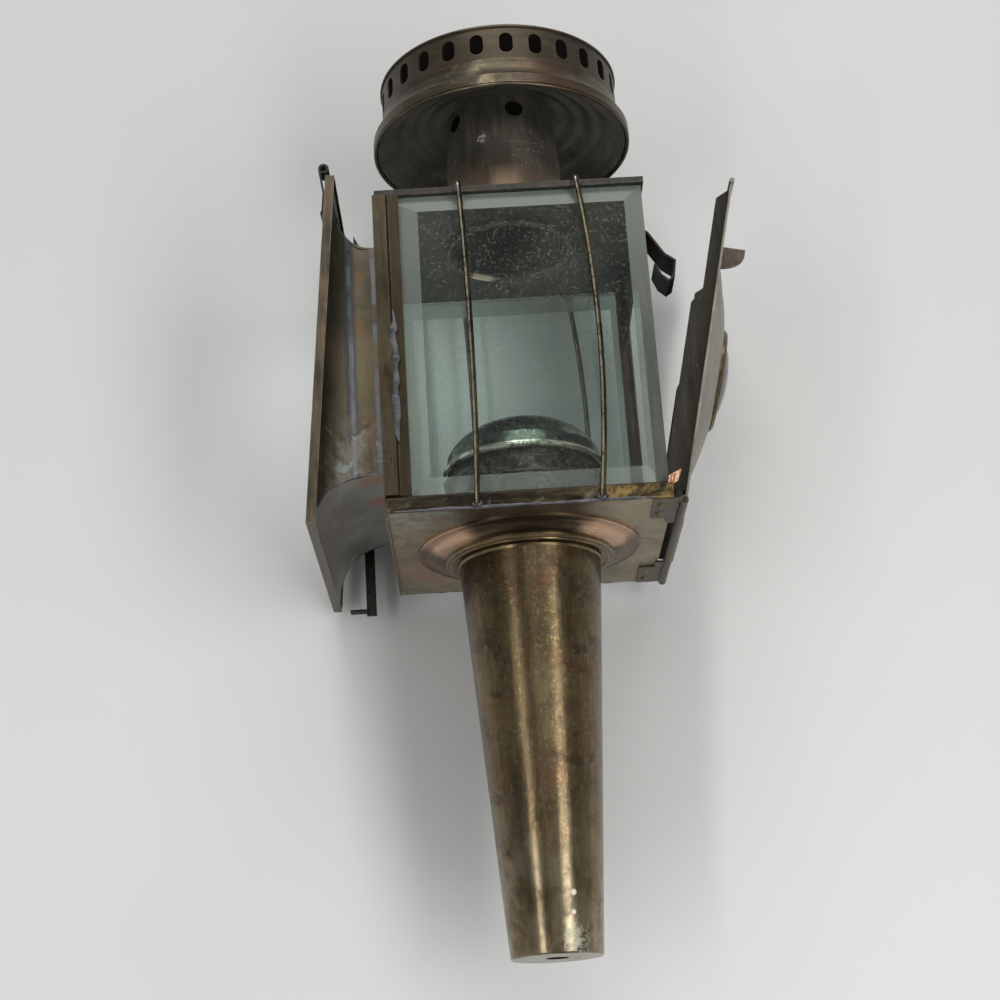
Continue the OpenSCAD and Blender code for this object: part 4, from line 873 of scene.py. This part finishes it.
# Backdrop: the pale sheet that the lamp lies back on, seen only from its own side
def backdrop():
    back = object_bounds()[1][1] + SHEET_GAP
    reach, count = SHEET_REACH, SHEET_SQUARES
    points = []
    for i in range(count + 1):
        for k in range(count + 1):
            x, z = reach * (2 * i / count - 1), reach * (2 * k / count - 1)
            crease = 0.0025 * noise.noise(Vector((x * 5, z * 3, 0.0)))
            points.append((x, back + max(0.0, 0.0025 + crease), z + BASE))
    row = count + 1
    faces = [
        (i * row + k, (i + 1) * row + k, (i + 1) * row + k + 1, i * row + k + 1)
        for i in range(count)
        for k in range(count)
    ]
    mesh = bpy.data.meshes.new("backdrop")
    mesh.from_pydata(points, [], faces)
    mesh.polygons.foreach_set("use_smooth", [True] * len(mesh.polygons))
    thing = bpy.data.objects.new("backdrop", mesh)
    bpy.context.scene.collection.objects.link(thing)
    paint = Paint("backdrop_sheet")
    # The sheet runs from paler at the bottom to darker at the top: a painted fall-off of light.
    painted_falloff = paint.step(paint.axis("Z"), -0.15, 0.45)
    colour = paint.blend(painted_falloff, ink("#e7e9ea"), ink("#d2d4d4"))
    # Faint broad patches: painted shade of soft folds in the sheet.
    patchy = paint.times(paint.step(paint.clouds(3, 3), 0.3, 0.7), 0.6)
    colour = paint.blend(patchy, colour, ink("#d9dbdb"))
    paint.shade(colour, 0.85, 0.0, paint.bump(paint.clouds(30, 4), 0.0004))
    face = paint.output.inputs["Surface"].links[0].from_socket
    gap = paint.add("ShaderNodeBsdfTransparent")
    pick = paint.add("ShaderNodeMixShader")
    lit = paint.add("ShaderNodeLightPath").outputs["Is Shadow Ray"]
    paint.feed(pick.inputs["Fac"], paint.sum("MAXIMUM", paint.geometry.outputs["Backfacing"], lit))
    paint.tree.links.new(face, pick.inputs[1])
    paint.tree.links.new(gap.outputs["BSDF"], pick.inputs[2])
    paint.tree.links.new(pick.outputs["Shader"], paint.output.inputs["Surface"])
    mesh.materials.append(paint.material)
    thing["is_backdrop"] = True


backdrop()


def lamp(name, place, target, width, height, power):
    data = bpy.data.lights.new(name, "AREA")
    data.shape = "RECTANGLE"
    data.size, data.size_y = width, height
    data.energy = power
    data.color = LAMP_COLOUR
    thing = bpy.data.objects.new(name, data)
    bpy.context.scene.collection.objects.link(thing)
    # The tall window lamps aren't seen through the panes from behind the object
    thing.visible_transmission = not name.startswith("window")
    thing.location = place
    thing.rotation_euler = (Vector(target) - Vector(place)).to_track_quat("-Z", "Y").to_euler()


# Camera: where the photograph was taken from, as angles and a distance to the lantern's base
CAMERA_RISE = -0.338
CAMERA_TURN = 0.0188
CAMERA_ROLL = -0.0643
CAMERA_AWAY = 703.8
CAMERA_SIDE = -11.13
CAMERA_UP = 18.69
LENS = 66.6
SENSOR = 36.0


def camera():
    tilt = Matrix.Rotation(CAMERA_ROLL, 3, "Y") @ Matrix.Rotation(CAMERA_RISE, 3, "X")
    turn = tilt @ Matrix.Rotation(CAMERA_TURN, 3, "Z")
    back = turn.transposed()
    place = spot(*(back @ Vector((CAMERA_SIDE, -CAMERA_AWAY, CAMERA_UP))))
    right, ahead, up = back.col[0], back.col[1], back.col[2]
    data = bpy.data.cameras.new("camera")
    data.sensor_fit = "HORIZONTAL"
    data.sensor_width = SENSOR
    data.lens = LENS
    data.clip_start = 0.01
    thing = bpy.data.objects.new("camera", data)
    bpy.context.scene.collection.objects.link(thing)
    pose = Matrix((right, up, -ahead)).transposed().to_4x4()
    pose.translation = place
    thing.matrix_world = pose
    bpy.context.scene.camera = thing
    return place, right, up, ahead


eye, eye_right, eye_up, eye_ahead = camera()


def lights():
    middle = Vector((0.0, 0.0, BASE + 0.03))

    def around(side, up, away):
        """A place seen from the lamp at an angle to the side of and above the camera, in degrees."""
        yaw, pitch = math.radians(side), math.radians(up)
        level = -eye_ahead * math.cos(yaw) + eye_right * math.sin(yaw)
        ray = level * math.cos(pitch) + eye_up * math.sin(pitch)
        return middle + ray * away

    lamp("window_left", around(-31, -5, 1.5), middle, 0.12, 1.5, 5.4)
    lamp("window_right", around(31, -1, 1.5), middle, 0.42, 1.5, 11.0)
    lamp("fill_above", around(0, 68, 1.6), middle, 1.2, 0.8, 11.0)
    lamp("glow_front", around(5, 27, 1.5), middle, 0.9, 0.6, 1.7)
    lamp("behind_sheet", middle + Vector((0.0, 1.4, 0.3)), middle, 1.6, 1.6, 7.0)


lights()


def world():
    """A pale room, darkest on the camera's side."""
    scene = bpy.context.scene
    scene.world = bpy.data.worlds.new("pale_room")
    scene.world.use_nodes = True
    tree = scene.world.node_tree
    tree.nodes.clear()
    ray = tree.nodes.new("ShaderNodeTexCoord")
    parts = tree.nodes.new("ShaderNodeSeparateXYZ")
    shade = tree.nodes.new("ShaderNodeMapRange")
    shade.interpolation_type = "SMOOTHSTEP"
    shade.inputs["From Min"].default_value = -1.0
    shade.inputs["From Max"].default_value = 0.5
    shade.inputs["To Min"].default_value = 0.15
    shade.inputs["To Max"].default_value = 0.6
    room = tree.nodes.new("ShaderNodeBackground")
    room.inputs["Color"].default_value = ink("#f2f3f4")
    seen = tree.nodes.new("ShaderNodeBackground")
    seen.inputs["Color"].default_value = ink("#d7d9d9")
    path = tree.nodes.new("ShaderNodeLightPath")
    pick = tree.nodes.new("ShaderNodeMixShader")
    out = tree.nodes.new("ShaderNodeOutputWorld")
    tree.links.new(ray.outputs["Generated"], parts.inputs["Vector"])
    tree.links.new(parts.outputs["Y"], shade.inputs["Value"])
    tree.links.new(shade.outputs["Result"], room.inputs["Strength"])
    tree.links.new(path.outputs["Is Camera Ray"], pick.inputs["Fac"])
    tree.links.new(room.outputs["Background"], pick.inputs[1])
    tree.links.new(seen.outputs["Background"], pick.inputs[2])
    tree.links.new(pick.outputs["Shader"], out.inputs["Surface"])
    scene.view_settings.view_transform = "Standard"


world()
